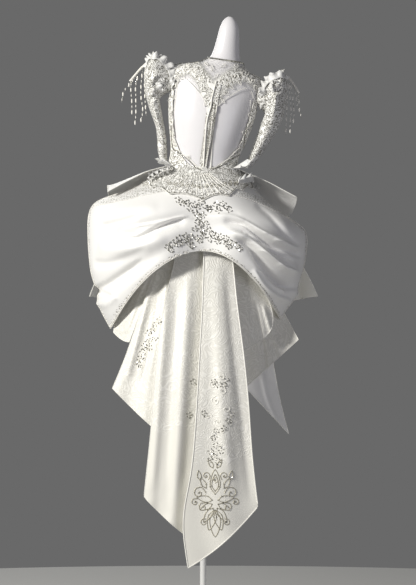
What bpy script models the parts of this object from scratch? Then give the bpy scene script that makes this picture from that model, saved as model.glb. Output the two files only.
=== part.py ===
"""A homecoming dress with a swagged bustle and a train, on a limbless dress form with a pole stand.

Units are metres and +Z is up. The wearer would face -Y, and +X is the wearer's left.
The origin is on the floor, in the middle of the stand's foot. Heights in the tables are
measured from the waist, and angles run round the body from the middle of the back, positive
towards the wearer's left.
"""

import math
from collections import namedtuple

import bmesh
import bpy
from mathutils import Vector

# Driving dimensions
WAIST_HEIGHT = 1.593
LEAN = math.radians(8.5)
LEAN_STARTS = -0.05
LEAN_IS_FULL = 0.10

# Cloth walls, and how far each layer's outer face stands off the form
SATIN = 0.0018
LACE = 0.0015
NET = 0.0012
NET_LAYER = 0.0034
LACE_LAYER = 0.0064
FRONT_SKIRT_SEAT = 0.0098
PANEL_SEAT = 0.0133
BUSTLE_SEAT = 0.0151
PEPLUM_SEAT = 0.0089
BASQUE_OVER_BUSTLE = 0.0042
SHOULDER_EASE = 0.0026
SHOULDER_HEIGHT = 0.330
SHOULDER_SPREAD = 0.045
SEAM_DROP = 0.014

# The stand
FOOT_RADIUS = 0.190
FOOT_THICKNESS = 0.012
POLE_RADIUS = 0.011
SEAT_GAP = 0.0003

FORM_COLUMNS = 30

# Colours as linear red, green and blue, with roughness and metallic value
Finish = namedtuple("Finish", "colour roughness metallic")
FINISHES = {
    "satin": Finish((0.84, 0.83, 0.80), 0.38, 0.0),
    "brocade": Finish((0.78, 0.77, 0.71), 0.45, 0.0),
    "lace": Finish((0.76, 0.75, 0.70), 0.70, 0.0),
    "net": Finish((0.86, 0.86, 0.85), 0.80, 0.0),
    "form_shell": Finish((0.88, 0.87, 0.87), 0.25, 0.0),
    "stand_paint": Finish((0.80, 0.80, 0.80), 0.40, 0.0),
    "beads": Finish((0.80, 0.80, 0.78), 0.20, 0.0),
}

# The form, from its flat underside to the top of its neck
Ring = namedtuple("Ring", "height half_width back front shift", defaults=(0,))
TORSO = (
    Ring(-0.300, 0.150, 0.112, 0.100),
    Ring(-0.200, 0.166, 0.120, 0.104),
    Ring(-0.100, 0.150, 0.108, 0.097),
    Ring(-0.040, 0.122, 0.088, 0.086),
    Ring(0.000, 0.112, 0.081, 0.081),
    Ring(0.045, 0.115, 0.085, 0.087),
    Ring(0.090, 0.127, 0.094, 0.097),
    Ring(0.170, 0.146, 0.105, 0.112),
    Ring(0.240, 0.157, 0.105, 0.104),
    Ring(0.280, 0.165, 0.100, 0.090),
    Ring(0.305, 0.170, 0.094, 0.080),
    Ring(0.325, 0.169, 0.087, 0.071),
    Ring(0.340, 0.160, 0.080, 0.064),
    Ring(0.350, 0.142, 0.075, 0.059),
    Ring(0.358, 0.115, 0.071, 0.056, -0.002),
    Ring(0.366, 0.094, 0.066, 0.053, -0.011),
    Ring(0.376, 0.076, 0.060, 0.051, -0.018),
    Ring(0.390, 0.061, 0.053, 0.049, -0.021),
    Ring(0.410, 0.0505, 0.046, 0.044, -0.022),
    Ring(0.463, 0.0415, 0.039, 0.038, -0.021),
    Ring(0.515, 0.0355, 0.034, 0.033, -0.020),
    Ring(0.541, 0.0235, 0.022, 0.021, -0.018),
    Ring(0.552, 0.0090, 0.009, 0.008, -0.017),
)
FORM_HEIGHTS = (
    -0.300, -0.200, -0.110, -0.050, 0.000, 0.040, 0.090, 0.150, 0.200, 0.245, 0.280, 0.305,
    0.322, 0.334, 0.343, 0.350, 0.356, 0.362, 0.368, 0.376, 0.388, 0.404, 0.430, 0.475,
    0.515, 0.541, 0.552,
)
BUST_ANGLE = math.radians(35)
BUST_SPREAD = math.radians(24)
BUST_HEIGHT = 0.175
BUST_REACH = 0.050
BUST_DEPTH = 0.022

# Edges of the bodice, each a height at an angle in degrees, alike on both sides
Edge = namedtuple("Edge", "angle height")
YOKE_HEM = (
    Edge(0, 0.205), Edge(6, 0.214), Edge(12, 0.243), Edge(18, 0.262), Edge(24, 0.272),
    Edge(30, 0.290), Edge(36, 0.300), Edge(42, 0.304), Edge(48, 0.300), Edge(54, 0.286),
    Edge(60, 0.268), Edge(66, 0.262), Edge(72, 0.286), Edge(78, 0.312), Edge(84, 0.326),
    Edge(90, 0.331),
)
FRONT_YOKE_HEM = (
    Edge(90, 0.331), Edge(102, 0.304), Edge(114, 0.262), Edge(126, 0.248), Edge(150, 0.246),
    Edge(165, 0.228), Edge(180, 0.208),
)
BACK_OPENING = (
    Edge(0, -0.004), Edge(18, 0.002), Edge(36, 0.024), Edge(48, 0.048), Edge(54, 0.066),
    Edge(60, 0.092), Edge(78, 0.094),
)
FRONT_NECKLINE = (
    Edge(80, 0.232), Edge(100, 0.240), Edge(118, 0.262), Edge(148, 0.268), Edge(166, 0.250),
    Edge(180, 0.226),
)
Side = namedtuple("Side", "height back_edge side_edge")
SIDE_PANEL = (
    Side(0.095, 60.0, 79.6), Side(0.140, 63.0, 79.6), Side(0.180, 64.0, 79.6),
    Side(0.225, 62.5, 79.6), Side(0.262, 60.0, 69.0),
)
NECKLINE = 0.391
BODICE_HEM = -0.020
CENTRE_STRIP_ANGLE = 6.5
CENTRE_STRIP_TOP = 0.300
SIDE_SEAM = 79.9
BASQUE_SIDE = 77.0
BASQUE_SIDE_REACH = 0.15
BASQUE_BACK_REACH = 0.31

# Each sleeve from its head to its cuff: its outer and inner edges seen from the back, half its
# depth from front to back, and how far its middle hangs forward. Across is away from the body.
Cuff = namedtuple("Cuff", "outer_x outer_z inner_x inner_z half_depth forward")
ARMHOLE_Z = 0.293
ARMHOLE_ANGLE = 28.0
ARMHOLE_RISE = 0.044
ARMHOLE_OFF = 0.0073
SLEEVES = {
    "sleeve_left": (
        Cuff(0.208, 0.376, 0.187, 0.232, 0.066, 0.000),
        Cuff(0.240, 0.386, 0.190, 0.224, 0.075, 0.002),
        Cuff(0.262, 0.348, 0.188, 0.212, 0.078, 0.004),
        Cuff(0.260, 0.292, 0.181, 0.194, 0.074, 0.006),
        Cuff(0.245, 0.234, 0.173, 0.168, 0.064, 0.009),
        Cuff(0.225, 0.184, 0.162, 0.136, 0.054, 0.012),
        Cuff(0.199, 0.144, 0.150, 0.102, 0.046, 0.015),
        Cuff(0.182, 0.100, 0.140, 0.068, 0.040, 0.018),
        Cuff(0.173, 0.054, 0.132, 0.036, 0.034, 0.020),
        Cuff(0.154, 0.012, 0.128, 0.006, 0.028, 0.022),
    ),
    "sleeve_right": (
        Cuff(0.208, 0.382, 0.187, 0.232, 0.066, 0.000),
        Cuff(0.238, 0.391, 0.190, 0.224, 0.075, 0.002),
        Cuff(0.257, 0.349, 0.187, 0.212, 0.078, 0.004),
        Cuff(0.261, 0.290, 0.182, 0.194, 0.075, 0.006),
        Cuff(0.261, 0.236, 0.177, 0.168, 0.068, 0.009),
        Cuff(0.250, 0.186, 0.171, 0.138, 0.059, 0.012),
        Cuff(0.230, 0.142, 0.165, 0.106, 0.051, 0.015),
        Cuff(0.211, 0.098, 0.158, 0.072, 0.044, 0.018),
        Cuff(0.193, 0.055, 0.151, 0.040, 0.037, 0.020),
        Cuff(0.168, 0.012, 0.144, 0.008, 0.030, 0.022),
    ),
}
SLEEVE_GATHERS = 8
SLEEVE_GATHER_DEPTH = 0.0055

# Skirts hang from the waist in profiles: how far out and how far down each row is, at the
# wearer's left, at the wearer's right, and in the middle of the back or front
Profile = namedtuple("Profile", "left_out left_drop right_out right_drop middle_out middle_drop")
BUSTLE = (
    Profile(0.000, 0.010, 0.000, 0.010, 0.000, 0.010),
    Profile(0.050, 0.034, 0.028, 0.040, 0.026, 0.030),
    Profile(0.108, 0.064, 0.060, 0.080, 0.060, 0.054),
    Profile(0.168, 0.088, 0.100, 0.122, 0.094, 0.084),
    Profile(0.222, 0.106, 0.150, 0.160, 0.124, 0.118),
    Profile(0.262, 0.126, 0.200, 0.192, 0.148, 0.152),
    Profile(0.281, 0.160, 0.238, 0.222, 0.164, 0.184),
    Profile(0.286, 0.205, 0.246, 0.262, 0.172, 0.211),
    Profile(0.285, 0.262, 0.240, 0.318, 0.176, 0.236),
    Profile(0.280, 0.335, 0.228, 0.378, 0.177, 0.256),
    Profile(0.270, 0.415, 0.212, 0.428, 0.176, 0.272),
    Profile(0.248, 0.495, 0.188, 0.482, 0.173, 0.286),
    Profile(0.205, 0.580, 0.150, 0.545, 0.169, 0.298),
)
FRONT_SKIRT = (
    Profile(0.000, 0.012, 0.000, 0.012, 0.000, 0.012),
    Profile(0.026, 0.042, 0.022, 0.042, 0.036, 0.042),
    Profile(0.066, 0.090, 0.058, 0.090, 0.070, 0.090),
    Profile(0.116, 0.160, 0.108, 0.160, 0.106, 0.160),
    Profile(0.170, 0.250, 0.164, 0.250, 0.142, 0.250),
    Profile(0.222, 0.335, 0.220, 0.335, 0.172, 0.340),
    Profile(0.260, 0.405, 0.260, 0.405, 0.196, 0.425),
    Profile(0.278, 0.458, 0.282, 0.458, 0.210, 0.500),
)
PEPLUM = (
    Profile(0.000, -0.004, 0.000, -0.004, 0.000, -0.004),
    Profile(0.056, 0.0142, 0.056, 0.022, 0.044, 0.026),
    Profile(0.110, 0.033, 0.110, 0.046, 0.084, 0.058),
    Profile(0.165, 0.0525, 0.165, 0.076, 0.121, 0.098),
    Profile(0.222, 0.072, 0.216, 0.102, 0.153, 0.142),
)
PEPLUM_CORNER_DROP = 0.062
PEPLUM_CORNER_STARTS = 8.0
PEPLUM_CORNER_ANGLE = 34.0
PEPLUM_LEFT_BACK = 15.0
PEPLUM_LEFT_BACK_DROP = 0.014
FRONT_SKIRT_FLARES = 8
FRONT_SKIRT_FLARE_DEPTH = 0.014
FRONT_SKIRT_EDGE = 74.0
FRONT_SKIRT_EDGE_SLANT = 26.0
BUSTLE_EDGE = 86.0
BUSTLE_EDGE_SLANT = 4.0
BUSTLE_COLUMNS_RIGHT = 23
BUSTLE_COLUMNS_LEFT = 17
BUSTLE_ROWS = 25
GATHER_DEPTH = 0.052
GATHER_SPREAD = 15.0

# Swags of the bustle, seen from behind: a curve through a start, a bend and an end, each
# across (to the wearer's left) and below the waist, with its half width and how far it
# stands out. A negative height is a hollow.
Swag = namedtuple("Swag", "x0 z0 x1 z1 x2 z2 half_width height")
SWAGS = (
    Swag(0.040, -0.150, 0.180, -0.158, 0.330, -0.190, 0.032, 0.012),
    Swag(0.050, -0.186, 0.165, -0.205, 0.290, -0.240, 0.020, -0.022),
    Swag(0.050, -0.222, 0.180, -0.258, 0.285, -0.284, 0.030, 0.018),
    Swag(0.150, -0.306, 0.270, -0.370, 0.375, -0.430, 0.026, -0.018),
    Swag(0.110, -0.296, 0.225, -0.390, 0.325, -0.500, 0.026, 0.012),
    Swag(-0.040, -0.168, -0.160, -0.176, -0.300, -0.262, 0.018, -0.014),
    Swag(-0.135, -0.190, -0.225, -0.222, -0.300, -0.288, 0.022, 0.022),
    Swag(-0.100, -0.200, -0.195, -0.262, -0.285, -0.328, 0.020, -0.028),
    Swag(-0.095, -0.234, -0.205, -0.284, -0.312, -0.366, 0.020, 0.026),
    Swag(-0.160, -0.276, -0.215, -0.352, -0.292, -0.420, 0.021, -0.026),
    Swag(-0.190, -0.345, -0.250, -0.420, -0.318, -0.452, 0.022, 0.018),
    Swag(-0.205, -0.110, -0.262, -0.170, -0.318, -0.250, 0.018, 0.008),
)

# Hanging panels: each row is a line across the cloth, from its end towards the wearer's
# right to its end towards the left, with how far its middle bows back and sags
Line = namedtuple("Line", "x0 y0 z0 x1 y1 z1 bow sag")
Panel = namedtuple("Panel", "waist_from waist_to seat columns rows folds fold_depth phase lines")
TRAIN_RIGHT = Panel(-32, -1.2, PANEL_SEAT, 8, 20, 1.6, 0.010, 0.30, (
    Line(-0.076, 0.126, -0.110, -0.002, 0.134, -0.110, 0.004, 0),
    Line(-0.090, 0.150, -0.210, -0.003, 0.162, -0.210, 0.004, 0),
    Line(-0.104, 0.170, -0.318, -0.003, 0.186, -0.304, 0.004, 0),
    Line(-0.120, 0.202, -0.480, 0.001, 0.222, -0.472, 0.008, 0),
    Line(-0.142, 0.228, -0.646, 0.011, 0.252, -0.650, 0.012, 0),
    Line(-0.160, 0.244, -0.820, 0.022, 0.282, -0.850, 0.012, 0),
    Line(-0.172, 0.250, -1.000, 0.038, 0.292, -1.060, 0.012, 0),
    Line(-0.183, 0.254, -1.110, 0.072, 0.296, -1.250, 0.012, 0.004),
    Line(-0.194, 0.256, -1.200, 0.052, 0.300, -1.413, 0.012, 0.020),
))
TRAIN_LEFT = Panel(0.4, 30, PANEL_SEAT, 8, 18, 2.0, 0.011, 0.10, (
    Line(0.006, 0.126, -0.110, 0.070, 0.124, -0.110, 0.004, 0),
    Line(-0.004, 0.144, -0.210, 0.084, 0.146, -0.210, 0.004, 0),
    Line(-0.014, 0.160, -0.310, 0.097, 0.166, -0.314, 0.004, 0),
    Line(-0.016, 0.184, -0.450, 0.124, 0.190, -0.436, 0.008, 0),
    Line(-0.010, 0.210, -0.620, 0.152, 0.214, -0.580, 0.012, 0),
    Line(0.000, 0.232, -0.800, 0.170, 0.234, -0.750, 0.014, 0),
    Line(0.010, 0.240, -0.980, 0.182, 0.240, -0.915, 0.014, 0),
    Line(0.022, 0.246, -1.140, 0.197, 0.244, -1.060, 0.012, 0),
    Line(0.030, 0.250, -1.325, 0.208, 0.246, -1.166, 0.010, 0.008),
))
TRAIN_FLARE = Panel(31, 58, PANEL_SEAT, 8, 13, 1.5, 0.011, 0.60, (
    Line(0.0700, 0.1120, -0.110, 0.120, 0.092, -0.110, 0.002, 0),
    Line(0.0780, 0.1310, -0.210, 0.140, 0.116, -0.210, 0.002, 0),
    Line(0.0870, 0.1490, -0.314, 0.162, 0.134, -0.340, 0.002, 0),
    Line(0.1100, 0.1720, -0.436, 0.192, 0.146, -0.430, 0.002, 0),
    Line(0.1380, 0.1950, -0.580, 0.230, 0.156, -0.540, 0.002, 0),
    Line(0.1540, 0.2140, -0.735, 0.268, 0.168, -0.655, 0.002, 0),
    Line(0.1640, 0.2190, -0.860, 0.300, 0.168, -0.735, 0.002, 0),
    Line(0.1680, 0.2200, -0.930, 0.321, 0.166, -0.785, 0.002, 0.004),
))
INNER_SWAG_LEFT = Panel(60, 73, PANEL_SEAT, 6, 9, 1.0, 0.004, 0.50, (
    Line(0.124, 0.092, -0.110, 0.160, 0.056, -0.110, 0.004, 0),
    Line(0.146, 0.112, -0.220, 0.235, 0.066, -0.210, 0.004, 0),
    Line(0.168, 0.128, -0.330, 0.292, 0.070, -0.320, 0.006, 0),
    Line(0.198, 0.136, -0.440, 0.310, 0.052, -0.430, 0.006, 0),
    Line(0.236, 0.142, -0.550, 0.314, 0.046, -0.510, 0.004, 0),
    Line(0.262, 0.140, -0.622, 0.320, 0.046, -0.588, 0.004, 0.008),
))
INNER_SWAG_RIGHT = Panel(-49.5, -34, PANEL_SEAT, 7, 10, 1.0, 0.005, 0.50, (
    Line(-0.130, 0.088, -0.110, -0.078, 0.108, -0.110, 0.002, 0),
    Line(-0.160, 0.102, -0.210, -0.084, 0.126, -0.210, 0.002, 0),
    Line(-0.178, 0.110, -0.320, -0.096, 0.142, -0.320, 0.002, 0),
    Line(-0.214, 0.108, -0.420, -0.106, 0.160, -0.430, 0.004, 0),
    Line(-0.244, 0.106, -0.500, -0.120, 0.176, -0.530, 0.004, 0),
    Line(-0.252, 0.112, -0.552, -0.130, 0.184, -0.600, 0.004, 0),
    Line(-0.232, 0.128, -0.594, -0.140, 0.190, -0.652, 0.004, 0.006),
))
SIDE_DRAPE = Panel(-64, -52, PANEL_SEAT, 7, 12, 1.2, 0.008, 0.20, (
    Line(-0.158, 0.052, -0.110, -0.138, 0.072, -0.110, 0.002, 0),
    Line(-0.184, 0.062, -0.230, -0.138, 0.086, -0.230, 0.002, 0),
    Line(-0.218, 0.060, -0.360, -0.136, 0.094, -0.360, 0.002, 0),
    Line(-0.258, 0.038, -0.460, -0.132, 0.116, -0.500, 0.006, 0),
    Line(-0.297, 0.016, -0.530, -0.132, 0.134, -0.640, 0.006, 0),
    Line(-0.341, 0.056, -0.614, -0.132, 0.152, -0.800, 0.006, 0),
))
SIDE_POINT = Panel(-72.2, -65.5, PANEL_SEAT, 6, 12, 1.0, 0.006, 0.40, (
    Line(-0.184, 0.018, -0.110, -0.172, 0.034, -0.110, 0.002, 0),
    Line(-0.204, 0.010, -0.240, -0.182, 0.036, -0.240, 0.002, 0),
    Line(-0.216, 0.012, -0.380, -0.158, 0.066, -0.380, 0.002, 0),
    Line(-0.228, 0.020, -0.540, -0.126, 0.096, -0.540, 0.006, 0),
    Line(-0.252, 0.018, -0.700, -0.118, 0.110, -0.680, 0.006, 0),
    Line(-0.276, 0.014, -0.830, -0.124, 0.112, -0.740, 0.006, 0),
    Line(-0.308, 0.010, -0.953, -0.132, 0.114, -0.762, 0.004, 0),
))

# Beaded shoulder sprays: strands hang from a leaf-shaped tab, in steps along it
Strand = namedtuple("Strand", "along sway length")
SPRAY_STRANDS = (
    Strand(0.20, 0.002, 0.172), Strand(0.36, 0.004, 0.178), Strand(0.52, 0.006, 0.128),
    Strand(0.68, 0.008, 0.146), Strand(0.83, 0.010, 0.088), Strand(0.96, 0.010, 0.078),
)
Spray = namedtuple("Spray", "root_x root_z reach_x reach_z")
SPRAYS = {
    "shoulder_spray_left": Spray(0.2113, 0.366, 0.052, -0.052),
    "shoulder_spray_right": Spray(-0.3076, 0.318, -0.036, -0.046),
}
SPRAY_HALF_WIDTH = 0.008
SPRAY_THICKNESS = 0.0030
STRAND_RADIUS = 0.0011

TUFT_ANGLE = 58.0
TUFT_LENGTH = 0.062
TUFT_WAVES = 3
TUFT_ROOT_OFF = 0.0163


def curve(keys, values):
    """A function that runs smoothly through the values at the keys, without overshooting."""
    steps = [keys[i + 1] - keys[i] for i in range(len(keys) - 1)]
    rates = [(values[i + 1] - values[i]) / steps[i] for i in range(len(steps))]
    slopes = [rates[0]]
    for before, after in zip(rates, rates[1:]):
        slopes.append(0.0 if before * after <= 0 else 2 * before * after / (before + after))
    slopes.append(rates[-1])

    def at(key):
        key = min(max(key, keys[0]), keys[-1])
        i = 0
        while i < len(steps) - 1 and key > keys[i + 1]:
            i += 1
        t = (key - keys[i]) / steps[i]
        rise = values[i] * (1 + 2 * t) * (1 - t) ** 2 + values[i + 1] * t * t * (3 - 2 * t)
        return rise + steps[i] * t * (1 - t) * (slopes[i] * (1 - t) - slopes[i + 1] * t)

    return at


def column(table, name, key=None):
    """One column of a table as a smooth curve, over the key column or over the rows from 0 to 1."""
    values = [getattr(row, name) for row in table]
    if key:
        return curve([getattr(row, key) for row in table], values)
    return curve([i / (len(table) - 1) for i in range(len(table))], values)


def columns(table, key=None):
    """All the columns of a table, as curves by name."""
    return {name: column(table, name, key) for name in table[0]._fields}


def mix(a, b, share):
    return a + (b - a) * share


def eased(share):
    share = min(max(share, 0.0), 1.0)
    return share * share * (3 - 2 * share)


def bump(distance, half_width):
    return math.exp(-((distance / half_width) ** 2))


def posed(point):
    """A point given from the waist, leant to the wearer's right with the upper body."""
    x, y, z = point
    turn = LEAN * eased((z - LEAN_STARTS) / (LEAN_IS_FULL - LEAN_STARTS))
    return Vector((
        x * math.cos(turn) - z * math.sin(turn),
        y,
        WAIST_HEIGHT + z * math.cos(turn) + x * math.sin(turn),
    ))


def moved_out(surface, across, down, distance):
    """A point of a surface, moved that far along its outward normal."""
    step = 1e-4
    along = surface(across + step, down) - surface(across - step, down)
    below = surface(across, down + step) - surface(across, down - step)
    return surface(across, down) + along.cross(below).normalized() * distance


torso_ring = columns(TORSO, "height")


def torso(angle, depth_below_waist):
    """A point on the form's skin, before the lean. The angle is in degrees."""
    turn = math.radians(angle)
    height = -depth_below_waist
    depth = torso_ring["back" if math.cos(turn) > 0 else "front"](height)
    point = Vector((
        torso_ring["half_width"](height) * math.sin(turn) + torso_ring["shift"](height),
        depth * math.cos(turn),
        height,
    ))
    from_front = abs(math.pi - abs(turn) % (2 * math.pi))
    point.y -= (
        BUST_DEPTH
        * bump(from_front - BUST_ANGLE, BUST_SPREAD)
        * bump(height - BUST_HEIGHT, BUST_REACH)
    )
    return point


def side_profile(top=0.450, bottom=-0.300, step=0.003):
    """Heights down the form's side, and how long the form's outline is down to each."""
    count = round((top - bottom) / step)
    heights = [top - step * i for i in range(count + 1)]
    lengths = [0.0]
    for upper, lower in zip(heights, heights[1:]):
        width = torso_ring["half_width"](lower) - torso_ring["half_width"](upper)
        lengths.append(lengths[-1] + math.hypot(width, step))
    return heights, lengths


profile_heights, profile_lengths = side_profile()
height_at_length = curve(profile_lengths, profile_heights)
length_at_height = curve(profile_heights[::-1], profile_lengths[::-1])


def height_between(top, bottom, share):
    """The height a share of the way down the form's outline from one height to another."""
    return height_at_length(mix(length_at_height(top), length_at_height(bottom), share))


def off_form(angle, height, distance):
    """A point that far off the form's skin, leant with it."""
    return posed(moved_out(torso, angle, -height, distance))


def material_of(name):
    material = bpy.data.materials.get(name)
    if material:
        return material
    material = bpy.data.materials.new(name)
    material.use_nodes = True
    finish = FINISHES[name]
    shader = material.node_tree.nodes["Principled BSDF"]
    shader.inputs["Base Color"].default_value = (*finish.colour, 1)
    shader.inputs["Roughness"].default_value = finish.roughness
    shader.inputs["Metallic"].default_value = finish.metallic
    material.diffuse_color = (*finish.colour, 1)
    return material


def placed(name, mesh, material, parent):
    """A named object for one piece, in the dress's collection."""
    mesh.shade_smooth()
    mesh.set_sharp_from_angle(angle=math.radians(50))
    mesh.materials.append(material_of(material))
    piece = bpy.data.objects.new(name, mesh)
    bpy.data.collections["homecoming_dress"].objects.link(piece)
    piece.parent = parent
    return piece


def lattice(rows, ring=False):
    """A mesh over rows of points, each row across and the rows going down, its face outwards."""
    bm = bmesh.new()
    made = [[bm.verts.new(point) for point in row] for row in rows]
    wide = len(rows[0])
    for upper, lower in zip(made, made[1:]):
        for i in range(wide if ring else wide - 1):
            after = (i + 1) % wide
            bm.faces.new((upper[i], upper[after], lower[after], lower[i]))
    return bm, made


def cloth(name, point, across, down, wall, material, parent, ring=False):
    """A cloth wall whose outer face runs through point(across, down), thickened inwards."""
    bm, _ = lattice([[point(u, v) for u in across] for v in down], ring)
    mesh = bpy.data.meshes.new(name)
    bm.to_mesh(mesh)
    bm.free()
    piece = placed(name, mesh, material, parent)
    shell = piece.modifiers.new("wall", "SOLIDIFY")
    shell.thickness = wall
    shell.offset = -1
    halves = piece.modifiers.new("flat_halves", "TRIANGULATE")
    halves.quad_method = "SHORTEST_DIAGONAL"
    return piece


def steps(count, start=0.0, end=1.0):
    return [mix(start, end, i / count) for i in range(count + 1)]


def build_stand(parent):
    """A round foot and a pole under the form."""
    bpy.ops.mesh.primitive_cylinder_add(
        vertices=32, radius=FOOT_RADIUS, depth=FOOT_THICKNESS, location=(0, 0, FOOT_THICKNESS / 2)
    )
    pole_foot = FOOT_THICKNESS + SEAT_GAP
    pole_top = WAIST_HEIGHT + FORM_HEIGHTS[0] - SEAT_GAP
    foot = bpy.context.object
    bpy.ops.mesh.primitive_cylinder_add(
        vertices=16, radius=POLE_RADIUS, depth=pole_top - pole_foot,
        location=(0, 0, (pole_top + pole_foot) / 2),
    )
    pole = bpy.context.object
    for piece, name in ((foot, "stand_foot"), (pole, "stand_pole")):
        piece.name = name
        piece.parent = parent
        piece.data.materials.append(material_of("stand_paint"))
        for collection in list(piece.users_collection):
            collection.objects.unlink(piece)
        bpy.data.collections["homecoming_dress"].objects.link(piece)
    edge = foot.modifiers.new("rolled_edge", "BEVEL")
    edge.width = FOOT_THICKNESS * 0.3
    edge.segments = 1
    edge.limit_method = "ANGLE"


def build_form(parent):
    """The torso and its tapering neck, one closed shell with a flat underside."""
    angles = [360 * i / FORM_COLUMNS for i in range(FORM_COLUMNS)]
    rows = [[posed(torso(a, -h)) for a in angles] for h in reversed(FORM_HEIGHTS)]
    bm, made = lattice(rows, ring=True)
    bm.faces.new(made[0])
    bm.faces.new(reversed(made[-1]))
    bmesh.ops.recalc_face_normals(bm, faces=bm.faces)
    mesh = bpy.data.meshes.new("dress_form")
    bm.to_mesh(mesh)
    bm.free()
    return placed("dress_form", mesh, "form_shell", parent)


def build_bodice(parent):
    """The lace yoke and net back, the side panels, the front and the centre strip."""
    yoke_hem = column(YOKE_HEM, "height", "angle")
    front_yoke_hem = column(FRONT_YOKE_HEM, "height", "angle")
    back_opening = column(BACK_OPENING, "height", "angle")
    front_neckline = column(FRONT_NECKLINE, "height", "angle")
    side_panel = columns(SIDE_PANEL, "height")
    seam = 0.0010

    def banded(name, angles, rows, top, bottom, distance, wall, material):
        def point(angle, down):
            height = height_between(top(abs(angle)), bottom(abs(angle)), down)
            ease = SHOULDER_EASE * bump(height - SHOULDER_HEIGHT, SHOULDER_SPREAD)
            return off_form(angle, height, distance + ease)

        return cloth(name, point, angles, steps(rows), wall, material, parent)

    yoke_angles = steps(24, -90, 90)
    banded("yoke_back", yoke_angles, 12, lambda a: NECKLINE, yoke_hem, NET_LAYER, NET, "lace")
    banded(
        "yoke_front", steps(18, 90.4, 269.6), 12, lambda a: NECKLINE,
        lambda a: front_yoke_hem(180 - abs(180 - a)), NET_LAYER, NET, "lace",
    )
    net_angles = steps(9, 0.0, 67.5)
    net_angles[0] = 0.25
    for side, name in ((-1, "back_net_right"), (1, "back_net_left")):
        angles = sorted(side * a for a in net_angles)
        banded(
            name, angles, 6, lambda a: yoke_hem(a) - seam, lambda a: opening_under(back_opening, a),
            NET_LAYER, NET, "net",
        )
    for side, name in ((-1, "bodice_side_right"), (1, "bodice_side_left")):
        def point(across, down, side=side):
            height = mix(SIDE_PANEL[-1].height, SIDE_PANEL[0].height, down)
            share = across if side > 0 else 1 - across
            angle = mix(side_panel["back_edge"](height), side_panel["side_edge"](height), share)
            return off_form(side * angle, height, LACE_LAYER)

        cloth(name, point, steps(3), steps(6), LACE, "lace", parent)
    banded(
        "bodice_front", steps(20, SIDE_SEAM, 360 - SIDE_SEAM), 7,
        lambda a: front_neckline(180 - abs(180 - a)), lambda a: BODICE_HEM,
        LACE_LAYER, LACE, "lace",
    )
    strip_angles = (-CENTRE_STRIP_ANGLE, 0, CENTRE_STRIP_ANGLE)
    banded(
        "centre_strip", strip_angles, 10, lambda a: CENTRE_STRIP_TOP,
        lambda a: back_opening(a) + seam * 2, LACE_LAYER, LACE, "lace",
    )


def opening_under(back_opening, angle):
    """The net's lower edge, which runs a little way under the lace round the opening."""
    return back_opening(angle) - 0.008 if angle < 55 else mix(0.06, 0.17, (angle - 55) / 12.5)


def build_sleeve(side, name, parent):
    """A puffed lace sleeve, gathered at its head, open at the armhole and at its cuff."""
    cuff = columns(SLEEVES[name])
    reach = 1 / (len(SLEEVES[name]))

    def point(across, down):
        turn = 2 * math.pi * across
        if down <= 0:
            angle = 90 + ARMHOLE_ANGLE * math.sin(turn)
            return off_form(side * angle, ARMHOLE_Z + ARMHOLE_RISE * math.cos(turn), ARMHOLE_OFF)
        at = {key: value((down - reach) / (1 - reach)) for key, value in cuff.items()}
        gather = 1 + SLEEVE_GATHER_DEPTH / 0.07 * math.cos(SLEEVE_GATHERS * turn) * (1 - down) ** 1.5
        outer = 0.5 + gather * math.cos(turn) / 2
        return posed((
            side * mix(at["inner_x"], at["outer_x"], outer),
            -at["forward"] - at["half_depth"] * gather * math.sin(turn),
            mix(at["inner_z"], at["outer_z"], outer),
        ))

    down = [0.0] + [mix(reach, 1, i / 10) for i in range(11)]
    across = [i / 16 for i in range(16)]
    if side < 0:
        across.reverse()
    return cloth(name, point, across, down, LACE, "lace", parent, ring=True)


def skirt_surface(profile, seat):
    """A surface over angles in degrees and shares down, that hangs from the waist in profiles."""
    at = columns(profile)
    waist_half_width = torso_ring["half_width"](-SEAM_DROP) + seat

    def surface(angle, down):
        turn = math.radians(angle)
        across, back = math.sin(turn), math.cos(turn)
        side = "left" if across > 0 else "right"
        waist_depth = torso_ring["back" if back > 0 else "front"](-SEAM_DROP) + seat
        share = across * across
        drop = mix(at["middle_drop"](down), at[side + "_drop"](down), share)
        return Vector((
            (waist_half_width + at[side + "_out"](down)) * across,
            (waist_depth + at["middle_out"](down)) * back,
            -drop,
        ))

    return surface


SWAG_STEPS = 6
SWAG_BENDS = [
    [
        Vector((
            mix(mix(swag.x0, swag.x1, t), mix(swag.x1, swag.x2, t), t),
            mix(mix(swag.z0, swag.z1, t), mix(swag.z1, swag.z2, t), t),
        ))
        for t in (i / SWAG_STEPS for i in range(SWAG_STEPS + 1))
    ]
    for swag in SWAGS
]


def swag_relief(x, z):
    """How far the bustle's folds stand out where it is seen at x and z."""
    total = 0.0
    here = Vector((x, z))
    for swag, bends in zip(SWAGS, SWAG_BENDS):
        nearest, where = 1.0, 0.0
        for i, (start, end) in enumerate(zip(bends, bends[1:])):
            run = end - start
            share = min(max((here - start).dot(run) / run.length_squared, 0.0), 1.0)
            distance = (here - start - run * share).length
            if distance < nearest:
                nearest, where = distance, (i + share) / SWAG_STEPS
        total += swag.height * bump(nearest, swag.half_width) * mix(0.45, 1.0, eased(where * 1.6))
    return total


bustle_base = skirt_surface(BUSTLE, BUSTLE_SEAT)


def bustle_surface(angle, down):
    """The bustle's outer face: its profiles, drawn in at the middle of the back, with its swags."""
    point = bustle_base(angle, down)
    turn = math.radians(angle)
    ease_in = eased((down - 0.18) / 0.2)
    drawn_in = GATHER_DEPTH * bump(angle, GATHER_SPREAD) * eased((down - 0.15) / 0.5)
    out = swag_relief(point.x, point.z) * ease_in
    point.y += out * math.cos(turn) - drawn_in
    point.x += out * math.sin(turn)
    return point


def bustle_angle(across, down):
    """The angle at a share across the bustle, whose side edges slant back towards the hem."""
    return across * (BUSTLE_EDGE - BUSTLE_EDGE_SLANT * down * down)


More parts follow.
